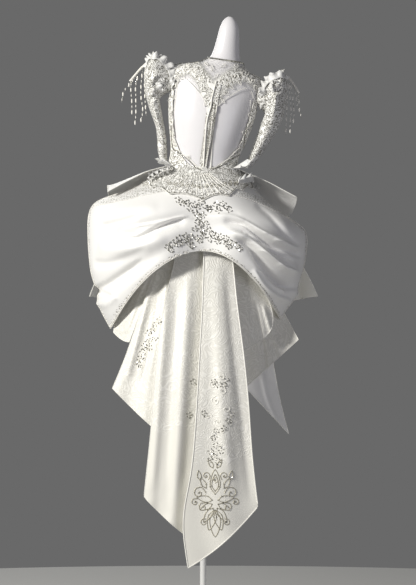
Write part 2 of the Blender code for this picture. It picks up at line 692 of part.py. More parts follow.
def bustle_across():
    right = [-1 + i / BUSTLE_COLUMNS_RIGHT for i in range(BUSTLE_COLUMNS_RIGHT)]
    return right + steps(BUSTLE_COLUMNS_LEFT)


def build_bustle(parent):
    """The swagged satin overskirt, caught up at the middle of the back."""

    def point(across, down):
        return posed(bustle_surface(bustle_angle(across, down), down))

    return cloth(
        "bustle", point, bustle_across(), steps(BUSTLE_ROWS), SATIN, "satin", parent
    )


def build_basque(parent):
    """The lace basque: its top edge is the back opening, and its hem lies on the bustle."""
    back_opening = column(BACK_OPENING, "height", "angle")
    bustle_rows = 5
    waist_rows = 4

    def point(angle, row):
        if row <= waist_rows:
            share = row / waist_rows
            top = back_opening(abs(angle))
            height = mix(top, -BUSTLE[0].middle_drop + 0.002, share)
            off = mix(LACE_LAYER, BUSTLE_SEAT + BASQUE_OVER_BUSTLE, eased(share * share))
            return off_form(angle, height, off)
        share = (row - waist_rows) / bustle_rows
        scallop = 1 + 0.08 * math.cos(math.radians(angle * 360 / 22)) * share
        reach = mix(BASQUE_SIDE_REACH, BASQUE_BACK_REACH, bump(angle, 38)) * scallop
        return posed(moved_out(bustle_surface, angle, share * reach + 0.004, BASQUE_OVER_BUSTLE))

    rows = list(range(waist_rows + bustle_rows + 1))
    return cloth("basque", point, steps(22, -BASQUE_SIDE, BASQUE_SIDE), rows, LACE, "lace", parent)


def build_peplum(parent):
    """The stiff satin peplum round the front, whose square corners stand out over each hip."""
    surface = skirt_surface(PEPLUM, PEPLUM_SEAT)

    def point(across, down):
        back = PEPLUM_LEFT_BACK * down * (1 - across) ** 2
        angle = mix(SIDE_SEAM, 360 - SIDE_SEAM, across) - back
        place = surface(angle, down)
        if angle < SIDE_SEAM:
            place *= math.sin(math.radians(SIDE_SEAM)) / math.sin(math.radians(angle))
            place.z = surface(angle, down).z - PEPLUM_LEFT_BACK_DROP * (back / PEPLUM_LEFT_BACK) ** 2
        from_edge = min(angle - SIDE_SEAM, 360 - SIDE_SEAM - angle)
        corner = (from_edge - PEPLUM_CORNER_STARTS) / (PEPLUM_CORNER_ANGLE - PEPLUM_CORNER_STARTS)
        place.z -= PEPLUM_CORNER_DROP * eased(corner) * down * down
        return posed(place)

    return cloth("peplum", point, steps(22), steps(5), SATIN, "satin", parent)


def build_front_skirt(parent):
    """The short flared skirt of the front, whose side edges slant forward under the bustle."""
    surface = skirt_surface(FRONT_SKIRT, FRONT_SKIRT_SEAT)

    def point(across, down):
        edge = FRONT_SKIRT_EDGE + FRONT_SKIRT_EDGE_SLANT * down
        angle = mix(edge, 360 - edge, across)
        place = surface(angle, down)
        turn = math.radians(angle)
        flare = FRONT_SKIRT_FLARE_DEPTH * down * down * math.cos(2 * math.pi * FRONT_SKIRT_FLARES * across)
        place.x += flare * math.sin(turn)
        place.y += flare * math.cos(turn)
        return posed(place)

    return cloth("front_skirt", point, steps(24), steps(5), SATIN, "satin", parent)


def build_panel(name, panel, material, parent):
    """A panel that hangs from an arc of the waist through its lines."""
    last = len(panel.lines)
    at = {
        field: curve(
            [i / last for i in range(1, last + 1)], [getattr(line, field) for line in panel.lines]
        )
        for field in Line._fields
    }

    def point(across, down):
        angle = mix(panel.waist_from, panel.waist_to, across)
        waist = moved_out(torso, angle, SEAM_DROP, panel.seat)
        here = {field: value(down) for field, value in at.items()}
        hung = Vector((
            mix(here["x0"], here["x1"], across),
            mix(here["y0"], here["y1"], across),
            mix(here["z0"], here["z1"], across),
        ))
        middle = 4 * across * (1 - across)
        wave = math.cos(2 * math.pi * (panel.folds * across + panel.phase))
        hung.y += here["bow"] * middle + panel.fold_depth * wave * eased((down - 0.25) * 1.8) * middle ** 0.5
        hung.z -= here["sag"] * middle
        return posed(waist.lerp(hung, min(down * last, 1.0)))

    return cloth(
        name, point, steps(panel.columns), steps(panel.rows), SATIN, material, parent
    )


def build_spray(side, name, parent):
    """A beaded tab that stands off the sleeve's head, with its strands, as one solid."""
    outline = [
        (0.00, 0.7), (0.12, 1.0), (0.35, 0.9), (0.60, 1.0), (0.85, 0.75), (1.00, 0.2),
    ]
    bend = 0.012

    spray = SPRAYS[name]

    def along(share, sideways=0.0, lift=0.0):
        arch = bend * math.sin(math.pi * share)
        return Vector((
            spray.root_x + spray.reach_x * share,
            sideways,
            WAIST_HEIGHT + spray.root_z + spray.reach_z * share + arch + lift,
        ))

    bm = bmesh.new()
    rings = []
    for share, width in outline:
        half = SPRAY_HALF_WIDTH * width
        rings.append([
            bm.verts.new(along(share, y * half, z * SPRAY_THICKNESS / 2))
            for y, z in ((-1, -1), (1, -1), (1, 1), (-1, 1))
        ])
    for near, far in zip(rings, rings[1:]):
        for i in range(4):
            bm.faces.new((near[i], near[(i + 1) % 4], far[(i + 1) % 4], far[i]))
    bm.faces.new(rings[0])
    bm.faces.new(rings[-1])
    bmesh.ops.recalc_face_normals(bm, faces=bm.faces)
    mesh = bpy.data.meshes.new(name)
    bm.to_mesh(mesh)
    bm.free()
    tab = placed(name, mesh, "beads", parent)

    threads = bpy.data.curves.new(name + "_threads", "CURVE")
    threads.dimensions = "3D"
    threads.bevel_depth = STRAND_RADIUS
    threads.bevel_resolution = 0
    threads.use_fill_caps = True
    for strand in SPRAY_STRANDS:
        root = along(strand.along)
        spline = threads.splines.new("POLY")
        shares = steps(3)
        spline.points.add(len(shares) - 1)
        for point, share in zip(spline.points, shares):
            sway = strand.sway * math.sin(math.pi * share * 0.8) * (1 - share * 0.3)
            point.co = (root.x + side * sway, root.y, root.z - strand.length * share, 1)
    guide = bpy.data.objects.new(name + "_threads", threads)
    cutters = bpy.data.collections["cutters"]
    cutters.objects.link(guide)
    bpy.context.view_layer.update()
    graph = bpy.context.evaluated_depsgraph_get()
    solid = bpy.data.meshes.new_from_object(guide.evaluated_get(graph))
    bm = bmesh.new()
    bm.from_mesh(solid)
    bmesh.ops.remove_doubles(bm, verts=bm.verts, dist=1e-5)
    bmesh.ops.recalc_face_normals(bm, faces=bm.faces)
    bm.to_mesh(solid)
    bm.free()
    bpy.data.objects.remove(guide)
    strands = bpy.data.objects.new(name + "_strands", solid)
    cutters.objects.link(strands)
    strands.hide_render = True
    strands.display_type = "WIRE"
    join = tab.modifiers.new("strands", "BOOLEAN")
    join.operation = "UNION"
    join.object = strands


def build_tuft(side, name, parent):
    """A small gathered loop of tulle that springs from the waist seam at the side of the back."""
    root = off_form(side * TUFT_ANGLE, 0.004, TUFT_ROOT_OFF)
    outward = Vector((side * 0.90, 0.28, 0.10)).normalized()
    upward = Vector((0, 0.35, 0.94)).normalized()

    def point(across, down):
        turn = mix(-0.9, 0.9, across)
        reach = 0.004 + TUFT_LENGTH * down * (0.82 + 0.18 * math.cos(TUFT_WAVES * 2 * math.pi * across))
        ruffle = 0.008 * down * math.sin(TUFT_WAVES * 2 * math.pi * across)
        direction = outward * math.cos(turn) + upward.cross(outward) * math.sin(turn)
        return root + direction * reach + upward * (ruffle + 0.012 * down)

    across = steps(12)
    if side > 0:
        across.reverse()
    return cloth(name, point, across, steps(3), NET, "net", parent)


def main():
    for leftover in list(bpy.data.objects):
        bpy.data.objects.remove(leftover)
    for name in ("homecoming_dress", "cutters"):
        bpy.context.scene.collection.children.link(bpy.data.collections.new(name))
    root = bpy.data.objects.new("floor_point", None)
    bpy.data.collections["homecoming_dress"].objects.link(root)
    build_stand(root)
    build_form(root)
    build_bodice(root)
    build_sleeve(-1, "sleeve_right", root)
    build_sleeve(1, "sleeve_left", root)
    build_bustle(root)
    build_basque(root)
    build_peplum(root)
    build_front_skirt(root)
    build_panel("train_right", TRAIN_RIGHT, "brocade", root)
    build_panel("train_left", TRAIN_LEFT, "brocade", root)
    build_panel("train_flare", TRAIN_FLARE, "brocade", root)
    build_panel("inner_swag_left", INNER_SWAG_LEFT, "brocade", root)
    build_panel("inner_swag_right", INNER_SWAG_RIGHT, "brocade", root)
    build_panel("side_drape", SIDE_DRAPE, "brocade", root)
    build_panel("side_point", SIDE_POINT, "satin", root)
    build_spray(-1, "shoulder_spray_right", root)
    build_spray(1, "shoulder_spray_left", root)
    build_tuft(-1, "waist_tuft_right", root)
    build_tuft(1, "waist_tuft_left", root)


main()
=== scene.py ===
# %% [markdown]
# # A homecoming dress seen from behind
# The solids of this dress come from CAD and are fixed. Here each of them gets the cloth, trim
# and light of the real dress. The first step loads them.

# %% Load the solids
import math
from collections import namedtuple

import bmesh
import bpy
import numpy as np
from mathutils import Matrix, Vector
from mathutils.bvhtree import BVHTree


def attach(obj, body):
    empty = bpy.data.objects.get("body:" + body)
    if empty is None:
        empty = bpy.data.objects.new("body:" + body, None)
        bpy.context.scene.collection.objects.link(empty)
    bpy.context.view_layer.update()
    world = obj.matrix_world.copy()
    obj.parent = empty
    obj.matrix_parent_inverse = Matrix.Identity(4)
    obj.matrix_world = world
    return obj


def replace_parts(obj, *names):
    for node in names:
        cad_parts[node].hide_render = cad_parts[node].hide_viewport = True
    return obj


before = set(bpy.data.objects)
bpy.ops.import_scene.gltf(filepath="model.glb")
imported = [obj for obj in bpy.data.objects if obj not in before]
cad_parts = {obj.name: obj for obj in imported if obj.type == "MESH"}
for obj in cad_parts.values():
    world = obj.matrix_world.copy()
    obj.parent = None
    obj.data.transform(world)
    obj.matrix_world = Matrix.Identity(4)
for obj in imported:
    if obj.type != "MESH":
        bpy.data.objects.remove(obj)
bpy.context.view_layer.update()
scene = bpy.context.scene

# %% [markdown]
# A place on the back of the dress is given by its column and row in the picture, because each
# pixel is 3.55 mm of the dress. The waist is in row 167, and the stand's pole in column 203.

# %% Places in the picture
PIXEL = 0.00355
PICTURE_WIDTH, PICTURE_HEIGHT = 416, 585
WAIST_ROW, POLE_COLUMN, WAIST_HEIGHT = 167, 203, 1.593


def across(column):
    return (POLE_COLUMN - column) * PIXEL


def height(row):
    return WAIST_HEIGHT + (WAIST_ROW - row) * PIXEL


def column_at(x):
    return POLE_COLUMN - x / PIXEL


def row_at(z):
    return WAIST_ROW - (z - WAIST_HEIGHT) / PIXEL


def linear(colour):
    """The linear values of an sRGB hex colour, with an alpha of 1."""
    parts = [int(colour[i:i + 2], 16) / 255 for i in (0, 2, 4)]
    return (*[c / 12.92 if c <= 0.04045 else ((c + 0.055) / 1.055) ** 2.4 for c in parts], 1.0)


def flowing(points, between=5):
    """A smooth run of points through the given ones, as a thread would lie."""
    p = np.array([points[0], *points, points[-1]], float)
    run = []
    for a, b, c, d in zip(p, p[1:], p[2:], p[3:]):
        for t in np.arange(between) / between:
            run.append(b + 0.5 * t * (c - a + t * (2 * a - 5 * b + 4 * c - d + t * (3 * (b - c) + d - a))))
    return np.array([*run, p[-1]])


def new_object(name, data):
    """An object at the origin, in the scene."""
    made = bpy.data.objects.new(name, data)
    scene.collection.objects.link(made)
    return made


print("the picture covers", round(PICTURE_WIDTH * PIXEL, 3), "by", round(PICTURE_HEIGHT * PIXEL, 3), "m")

# %% [markdown]
# ## Camera and light
# The picture was taken from straight behind, a little below the shoulders. A far camera with a
# long lens keeps the proportions that the solids were measured with. One lamp at the left
# does most of the work, so the folds are read by their shade, and the pale surroundings fill in.

# %% Camera, lamps and floor
DISTANCE = 14.0
SENSOR = 36
MEASURED_PLANE = 0.15  # a pixel is 3.55 mm this far behind the pole
camera = new_object("camera", bpy.data.cameras.new("camera"))
camera.location = (across(PICTURE_WIDTH / 2), DISTANCE, height(PICTURE_HEIGHT / 2))
camera.rotation_euler = (math.radians(90), 0, math.radians(180))
camera.data.sensor_width = SENSOR
camera.data.lens = SENSOR * (DISTANCE - MEASURED_PLANE) / (PICTURE_HEIGHT * PIXEL)
camera.data.clip_end = 100
scene.camera = camera


def lamp(name, place, aim, size, power, colour):
    light = new_object(name, bpy.data.lights.new(name, "AREA"))
    light.data.size, light.data.energy, light.data.color = size, power, linear(colour)[:3]
    light.location = place
    light.rotation_euler = (Vector(aim) - Vector(place)).to_track_quat("-Z", "Y").to_euler()


lamp("window_side_lamp", (3.6, 3.3, 3.2), (0.0, 0.1, 1.25), 0.8, 300, "FFFDF8")
lamp("soft_fill", (-3.0, 3.8, 0.6), (0.0, 0.1, 1.1), 2.4, 26, "EEEEFF")
lamp("front_fill", (1.0, -4.0, 2.8), (0.0, 0.0, 1.2), 2.4, 30, "FFFFFF")
world = bpy.data.worlds.new("studio")
world.use_nodes = True
world.node_tree.nodes["Background"].inputs["Color"].default_value = linear("D6D6D6")
world.node_tree.nodes["Background"].inputs["Strength"].default_value = 0.21
scene.world = world
scene.view_settings.view_transform = "Standard"


def pick(piece):
    """Only this piece is selected and active."""
    bpy.ops.object.select_all(action="DESELECT")
    piece.select_set(True)
    bpy.context.view_layer.objects.active = piece


bpy.ops.object.select_all(action="DESELECT")
bpy.ops.mesh.primitive_circle_add(vertices=96, radius=2.4, fill_type="NGON", location=(0, 0, -0.001))
floor = bpy.context.object
floor.name = "floor"
bpy.ops.object.transform_apply(location=True)
print("lens", round(camera.data.lens), "mm")

# %% [markdown]
# ## Finishes
# One small function adds a node with its settings and links, and a few more name what is drawn
# again and again. The rest of a finish is written out, so it can be read from top to bottom.

# %% A node at a time
def add(material, kind, inputs=None, **settings):
    """A new node, with inputs that are set or linked."""
    node = material.node_tree.nodes.new("ShaderNode" + kind)
    for name, value in settings.items():
        setattr(node, name, value)
    for name, value in (inputs or {}).items():
        if isinstance(value, bpy.types.NodeSocket):
            material.node_tree.links.new(value, node.inputs[name])
        else:
            node.inputs[name].default_value = value
    return node


def finish_of(name, **values):
    """A new material and its shader, with values for the shader's own sockets."""
    material = bpy.data.materials.new(name)
    material.use_nodes = True
    shader = material.node_tree.nodes["Principled BSDF"]
    for key, value in values.items():
        shader.inputs[key.replace("_", " ").title().replace("Ior", "IOR")].default_value = value
    return material, shader


def wire(material, shader, **outputs):
    for key, value in outputs.items():
        material.node_tree.links.new(value, shader.inputs[key.replace("_", " ").title()])


def place_in(material):
    """Where a point is on its object."""
    return add(material, "TexCoord").outputs["Object"]


def painted(material, name):
    """The number that a piece carries on its points under a name."""
    return add(material, "Attribute", attribute_name=name).outputs["Fac"]


def noise(material, place, scale, detail=2.0, distortion=0.0):
    return add(material, "TexNoise", {
        "Vector": place, "Scale": scale, "Detail": detail, "Distortion": distortion}).outputs["Fac"]


def reckon(material, operation, *values):
    return add(material, "Math", dict(enumerate(values)), operation=operation).outputs[0]


def contours(material, hills, count):
    """Waves from -1 to 1 that follow the contour lines of a value."""
    return reckon(material, "SINE", reckon(material, "MULTIPLY", hills, count))


def spread(material, value, low, high, to_low=0.0, to_high=1.0, kind="LINEAR"):
    """A value brought from one range to another."""
    return add(material, "MapRange", {
        "Value": value, "From Min": low, "From Max": high, "To Min": to_low, "To Max": to_high,
    }, interpolation_type=kind).outputs[0]


def blend(material, share, *ends):
    """A colour between two ends, each a hex colour or a socket."""
    first, second = (linear(end) if isinstance(end, str) else end for end in ends)
    return add(material, "Mix", {0: share, 6: first, 7: second}, data_type="RGBA").outputs[2]


def bump(material, height, strength, distance, sunk=False, **over):
    return add(material, "Bump", {
        "Height": height, "Strength": strength, "Distance": distance, **over}, invert=sunk).outputs["Normal"]


floor_paint = finish_of("matt_studio_floor", base_color=linear("BDBDBB"), roughness=0.8)[0]
floor.data.materials.append(floor_paint)

# %% [markdown]
# The bustle and the peplum are heavy satin: the warp floats over the weft, so the face is
# smooth and its gloss is broad and soft. The threads are a tenth of a millimetre and would not
# show, so the slow slubs across the weave are all that is drawn of it, only just raised. Where a
# band of lace is painted on it, holes of a few millimetres are painted grey as the shade under
# the lace.

# %% Satin
satin, satin_shader = finish_of(
    "duchess_satin", roughness=0.40, sheen_weight=0.12, sheen_roughness=0.35, specular_ior_level=0.45)
place = place_in(satin)
slubs = noise(satin, add(satin, "Mapping", {"Vector": place, "Scale": (18, 18, 190)}).outputs[0], 1.0, 3.0)
face = blend(satin, noise(satin, place, 6.0), "F6F5F3", "EEEDEA")
petals = add(satin, "TexVoronoi", {"Vector": place, "Scale": 105.0, "Randomness": 0.7},
             feature="DISTANCE_TO_EDGE").outputs["Distance"]
# The lace's holes are painted grey as painted shade under the lace, and are sunk by the bump.
shaded_lace_holes = reckon(satin, "MULTIPLY", spread(satin, petals, 0.10, 0.30), painted(satin, "band"))
slubbed = bump(satin, slubs, 0.10, 0.0006)
wire(satin, satin_shader, base_color=blend(satin, shaded_lace_holes, face, "A6A49B"),
     normal=bump(satin, shaded_lace_holes, 0.9, 0.0010, sunk=True, Normal=slubbed))

# %% [markdown]
# The train and the inner swags are brocade. On a jacquard loom the pattern is woven in threads
# that shine another way than the ground, so the scrolls are told by gloss and a slight relief
# more than by colour. The contour lines of a soft noise make such scrolls, 20 to 30 mm apart.
# A value painted on each point says where the brocade gives way to plain satin.

# %% Brocade
brocade, brocade_shader = finish_of("ivory_brocade", sheen_weight=0.10, sheen_roughness=0.4)
hills = noise(brocade, place_in(brocade), 15.0, 1.2, 2.2)
scrolls = spread(brocade, contours(brocade, hills, 44.0), -0.2, 0.75, kind="SMOOTHSTEP")
raised = reckon(brocade, "MULTIPLY", scrolls, painted(brocade, "brocade"))
wire(brocade, brocade_shader, base_color=blend(brocade, raised, "EAE8E0", "F6F4ED"),
     roughness=spread(brocade, raised, 0.0, 1.0, 0.46, 0.34), normal=bump(brocade, raised, 0.60, 0.0009))

# %% [markdown]
# The lace is corded: a machine net with thick cords sewn along its scrolls. The cords are
# nearly white and stand up. Under full lace the net between them is painted grey as the shade
# behind it, and lets part of what is behind it through. Each piece says by a painted value how
# closely it is covered, from bare net to full lace.

# %% Lace, on net that is seen through
def lace_of(name, cords, shaded_net_colour, gap, openness):
    lace, shader = finish_of(name, roughness=0.62, sheen_weight=0.1)
    place = place_in(lace)
    hills = noise(lace, place, gap, 2.0, 0.9)
    flower = add(lace, "TexVoronoi", {
        "Vector": place, "Scale": gap * 1.7, "Randomness": 0.8}).outputs["Distance"]
    dots = spread(lace, contours(lace, flower, 24.0), 0.0, 0.7, kind="SMOOTHSTEP")
    threads = spread(lace, contours(lace, hills, 46.0), -0.15, 0.6, kind="SMOOTHSTEP")
    cover = painted(lace, "cover")
    drawn = reckon(lace, "MULTIPLY", reckon(lace, "MAXIMUM", threads, dots), cover)
    least = spread(lace, cover, 0.0, 1.0, 0.04, openness)
    # Under full lace the net between the cords takes the given grey, as painted shade; bare net is white.
    wire(lace, shader, base_color=blend(lace, drawn, blend(lace, cover, "FAFAF8", shaded_net_colour), cords),
         alpha=spread(lace, drawn, 0.0, 1.0, least), normal=bump(lace, drawn, 0.9, 0.0016))
    return lace


# The second colour of each is the painted shade of the net between the cords.
lace = lace_of("corded_lace", "F8F7F3", "8F8C80", 30.0, 0.85)
sheer_lace = lace_of("corded_lace_on_net", "F8F7F3", "A09D92", 30.0, 0.55)
print("lace:", lace.name, "and", sheer_lace.name)

# %% [markdown]
# Net and organza are so fine that they only veil what is behind them. The form is moulded
# plastic with a clear gloss, the stand is painted steel, and the beads are silver-lined glass,
# whose silver is painted in dark and bright spots as painted glints.

# %% Net, form, stand and beads
net = finish_of("illusion_net", base_color=linear("F4F4F2"), roughness=0.7, alpha=0.05)[0]
organza, organza_shader = finish_of("white_organza", roughness=0.45, sheen_weight=0.3)
crinkle = noise(organza, place_in(organza), 90.0)
wire(organza, organza_shader, base_color=blend(organza, crinkle, "FFFFFF", "ECEBE6"),
     alpha=spread(organza, crinkle, 0.3, 0.7, 0.62, 0.95))

form_gloss, form_shader = finish_of(
    "moulded_gloss_plastic", roughness=0.24, coat_weight=0.35, coat_roughness=0.08, specular_ior_level=0.5)
cloudy = noise(form_gloss, place_in(form_gloss), 3.0)
wire(form_gloss, form_shader, base_color=blend(form_gloss, cloudy, "EEECEE", "E4E2E5"))

stand_paint, stand_shader = finish_of("white_stand_paint", roughness=0.35, coat_weight=0.2)
orange_peel = noise(stand_paint, place_in(stand_paint), 400.0)
wire(stand_paint, stand_shader, base_color=blend(stand_paint, orange_peel, "E3E3E1", "DADAD8"),
     normal=bump(stand_paint, orange_peel, 0.15, 0.0003))

silver_glass, glass_shader = finish_of("silver_lined_glass", metallic=0.85, roughness=0.16)
# The silver's colour is painted in dark and bright spots that stand for glints.
painted_glints = noise(silver_glass, place_in(silver_glass), 260.0, 1.0)
wire(silver_glass, glass_shader, base_color=blend(
    silver_glass, spread(silver_glass, painted_glints, 0.42, 0.58), "77756A", "ECEAE2"))
pearl = finish_of("pearl_bead", base_color=linear("F4F1EA"), roughness=0.2, coat_weight=0.5)[0]
piping = finish_of("satin_piping", base_color=linear("F5F3EC"), roughness=0.4, sheen_weight=0.15)[0]
gilt_cord = finish_of("silver_grey_cord", base_color=linear("B4AF9E"), metallic=0.5, roughness=0.4)[0]
print("finishes:", len(bpy.data.materials))

# %% [markdown]
# ## The cloth
# Each cloth piece starts as a copy of its solid. The solid's loose triangles are merged and
# paired into squares, its rims are creased so that they stay thin and crisp, and so are the
# points where a rim turns by more than 38 degrees, which are the cloth's cut corners. Then a
# Subdivision Surface makes the smooth sheet that the folds are pressed into.

# %% A fine copy of a solid
CORNER = -math.cos(math.radians(38))
SHORTEST_RIM_EDGE = 0.003


def worn(node, finish, levels, rim_angle=55):
    piece = new_object(node + "_worn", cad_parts[node].data.copy())
    pick(piece)
    bpy.ops.mesh.customdata_custom_splitnormals_clear()
    bpy.ops.object.mode_set(mode="EDIT")
    bpy.ops.mesh.select_mode(type="EDGE")
    bpy.ops.mesh.select_all(action="SELECT")
    bpy.ops.mesh.remove_doubles(threshold=0.00002)
    bpy.ops.mesh.tris_convert_to_quads(face_threshold=math.radians(60), shape_threshold=math.radians(60))
    bpy.ops.mesh.select_all(action="DESELECT")
    bpy.ops.mesh.edges_select_sharp(sharpness=math.radians(rim_angle))
    bpy.ops.transform.edge_crease(value=1.0)
    bpy.ops.object.mode_set(mode="OBJECT")
    rims = {}
    for edge in piece.data.edges:
        if edge.select:
            a, b = (piece.data.vertices[i] for i in edge.vertices)
            if (a.co - b.co).length > SHORTEST_RIM_EDGE:
                rims.setdefault(a.index, []).append((b.co - a.co).normalized())
                rims.setdefault(b.index, []).append((a.co - b.co).normalized())
    corners = [i for i, ways in rims.items() if len(ways) == 2 and ways[0].dot(ways[1]) > CORNER]
    if corners:
        bpy.context.tool_settings.mesh_select_mode = (True, False, False)
        bpy.ops.object.mode_set(mode="EDIT")
        bpy.ops.mesh.select_all(action="DESELECT")
        bpy.ops.object.mode_set(mode="OBJECT")
        for i in corners:
            piece.data.vertices[i].select = True
        bpy.ops.object.mode_set(mode="EDIT")
        bpy.ops.transform.vert_crease(value=1.0)
        bpy.ops.object.mode_set(mode="OBJECT")
    if levels:
        smooth = piece.modifiers.new("smooth", "SUBSURF")
        smooth.levels = smooth.render_levels = levels
        bpy.ops.object.modifier_apply(modifier="smooth")
    bpy.ops.object.shade_smooth_by_angle(angle=math.radians(50))
    piece.data.materials.clear()
    piece.data.materials.append(finish)
    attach(piece, "root")
    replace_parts(piece, node)
    return piece


def points_of(piece):
    flat = np.empty(len(piece.data.vertices) * 3)
    piece.data.vertices.foreach_get("co", flat)
    return flat.reshape(-1, 3)


def put_points(piece, points):
    piece.data.vertices.foreach_set("co", points.ravel())
    piece.data.update()


def paint(piece, name, values):
    """Writes one number on each point, for a finish to read."""
    layer = piece.data.attributes.new(name, "FLOAT", "POINT")
    layer.data.foreach_set("value", np.ascontiguousarray(values, float))


pieces = {}
for node, finish, slot, levels in (
    ("dress_form", form_gloss, "form_shell", 2), ("yoke_back", sheer_lace, "lace", 2),
    ("yoke_front", sheer_lace, "lace", 2), ("back_net_left", net, "net", 2),
    ("back_net_right", net, "net", 2), ("bodice_side_left", lace, "lace", 3),
    ("bodice_side_right", lace, "lace", 3), ("bodice_front", lace, "lace", 2),
    ("centre_strip", lace, "lace", 2), ("sleeve_left", sheer_lace, "lace", 3),
    ("sleeve_right", sheer_lace, "lace", 3), ("basque", sheer_lace, "lace", 3),
    ("peplum", satin, "satin", 3), ("bustle", satin, "satin", 2),
    ("front_skirt", satin, "satin", 3), ("train_left", brocade, "brocade", 3),
    ("train_right", brocade, "brocade", 3), ("train_flare", brocade, "brocade", 3),
    ("inner_swag_left", brocade, "brocade", 3), ("inner_swag_right", brocade, "brocade", 3),
    ("side_drape", brocade, "brocade", 3), ("side_point", satin, "satin", 3),
    ("waist_tuft_left", organza, "net", 2), ("waist_tuft_right", organza, "net", 2),
):
    pieces[node] = worn(node, finish, levels)
for node in ("stand_pole", "stand_foot"):
    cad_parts[node].material_slots[0].material = stand_paint
print("pieces:", len(pieces), "points:", sum(len(p.data.vertices) for p in pieces.values()))

# %% [markdown]
# ## Folds
# A fold is a path across the cloth, as it is seen from behind. It stands out or sinks in by its
# depth. On the left of its path it fades over its width, and on the right over its lip, so a
# narrow lip makes the crisp edge of a fold that hangs over the cloth below it. Both faces of
# the cloth move alike, so the sheet stays as thick as it was.

# %% Press folds into cloth
Fold = namedtuple("Fold", "path width lip depth")
FAR = 9.0
OUTWARD, FORWARD, STRAIGHT_BACK = 0.25, -0.25, 2  # where a piece's middle counts as lying


def ease(share):
    share = np.clip(share, 0, 1)
    return share * share * (3 - 2 * share)


def relief(points, folds):
    """How far out the folds push each point."""
    seen = points[:, (0, 2)]
    out = np.zeros(len(points))
    for fold in folds:
        path = flowing([(across(c), height(r)) for c, r in fold.path], 4)
        start, run = path[:-1], path[1:] - path[:-1]
        near = np.full(len(points), FAR)
        side, along = np.zeros(len(points)), np.zeros(len(points))
        for i, (s, r) in enumerate(zip(start, run)):
            offset = seen - s
            share = np.clip(offset @ r / (r @ r), 0, 1)
            away = np.hypot(*(offset - share[:, None] * r).T)
            closer = away < near
            near[closer] = away[closer]
            along[closer] = (i + share[closer]) / len(run)
            side[closer] = (offset[:, 0] * r[1] - offset[:, 1] * r[0])[closer]
        width = np.where(side < 0, fold.width, fold.lip)
        out += fold.depth * np.exp(-(near / width) ** 2) * ease(along / 0.2) * ease((1 - along) / 0.2)
    return out


def press(piece, folds, toward=OUTWARD):
    """Pushes the folds out from the pole's line, or straight back if toward is large."""
    points = points_of(piece)
    out = points * (1, 1, 0) + (0, toward, 0)
    out /= np.linalg.norm(out, axis=1)[:, None]
    put_points(piece, points + out * relief(points, folds)[:, None])


def finer(piece, columns, rows):
    """Cuts each face in a stretch of the cloth into four. The stretch is seen from behind."""
    faces = piece.data.polygons
    middles = np.empty(len(faces) * 3)
    faces.foreach_get("center", middles)
    column, row = column_at(middles[0::3]), row_at(middles[2::3])
    chosen = (column > columns[0]) & (column < columns[1]) & (row > rows[0]) & (row < rows[1])
    pick(piece)
    bpy.context.tool_settings.mesh_select_mode = (False, False, True)
    bpy.ops.object.mode_set(mode="EDIT")
    bpy.ops.mesh.select_all(action="DESELECT")
    bpy.ops.object.mode_set(mode="OBJECT")
    faces.foreach_set("select", chosen)
    bpy.ops.object.mode_set(mode="EDIT")
    bpy.ops.mesh.subdivide(number_cuts=1)
    bpy.ops.object.mode_set(mode="OBJECT")


finer(pieces["bustle"], (238, 320), (212, 312))
finer(pieces["bustle"], (86, 200), (208, 300))
BUSTLE_FOLDS = (
    Fold(((119.8, 231), (138, 227), (154.6, 224), (171, 220.6), (183.6, 217.7), (194, 219.8)),
         0.026, 0.006, 0.012),
    Fold(((117, 234), (131.4, 238.8), (142, 236), (154.6, 229.7), (167, 224), (179.5, 219.8), (193, 218)),
         0.024, 0.006, -0.022),
    Fold(((90, 289), (95, 288.6), (109, 282), (126, 271), (146, 258)), 0.020, 0.009, -0.015),
    Fold(((92, 291), (101, 293), (112, 297)), 0.006, 0.008, -0.006),
    Fold(((200, 217), (225, 215.5), (243, 221), (262, 232), (283, 242), (302, 250)), 0.022, 0.007, 0.014),
    Fold(((222, 222), (243, 225), (258, 236), (272, 246), (290, 252), (304, 258)), 0.007, 0.014, -0.022),
    Fold(((226, 230), (244, 236), (258, 246), (272, 258), (286, 268), (302, 272)), 0.013, 0.006, 0.020),
    Fold(((232, 238), (248, 246), (258, 260), (268, 275), (282, 286), (300, 288)), 0.008, 0.016, -0.026),
    Fold(((252, 268), (264, 286), (278, 297), (294, 302)), 0.012, 0.008, 0.012),
    Fold(((254, 203), (270, 216), (288, 236), (300, 246)), 0.012, 0.008, -0.006),
    Fold(((100, 215), (125, 210), (160, 206)), 0.020, 0.020, 0.006),
    Fold(((100, 226), (118, 222), (140, 216)), 0.014, 0.010, -0.006),
    Fold(((96, 245), (125, 250), (170, 240)), 0.030, 0.030, 0.009),
    Fold(((92, 262), (112, 262), (150, 248)), 0.018, 0.012, -0.007),
    Fold(((94, 303), (106, 304), (118, 296)), 0.010, 0.010, 0.008),
)
press(pieces["bustle"], BUSTLE_FOLDS)
BASQUE_COLUMNS = range(170, 240, 6)
press(pieces["basque"], [
    Fold(((198 + 0.35 * (c - POLE_COLUMN), 176), (c, 197)), 0.0035, 0.0035, 0.0016) for c in BASQUE_COLUMNS])
TRAIN_FOLDS = (
    Fold(((168, 250), (164, 330), (158, 420), (152, 520)), 0.018, 0.014, 0.006),
    Fold(((176, 262), (174, 340), (170, 430), (168, 530)), 0.018, 0.016, -0.005),
    Fold(((189, 262), (186, 340), (180, 430), (172, 540)), 0.016, 0.016, 0.004),
    Fold(((214, 258), (216, 330), (222, 420), (236, 500)), 0.020, 0.020, 0.004),
    Fold(((226, 262), (232, 340), (244, 440), (252, 510)), 0.014, 0.018, -0.005),
    Fold(((150, 285), (140, 330), (126, 385)), 0.012, 0.012, 0.008),
    Fold(((160, 290), (152, 340), (140, 390)), 0.010, 0.010, -0.008),
)
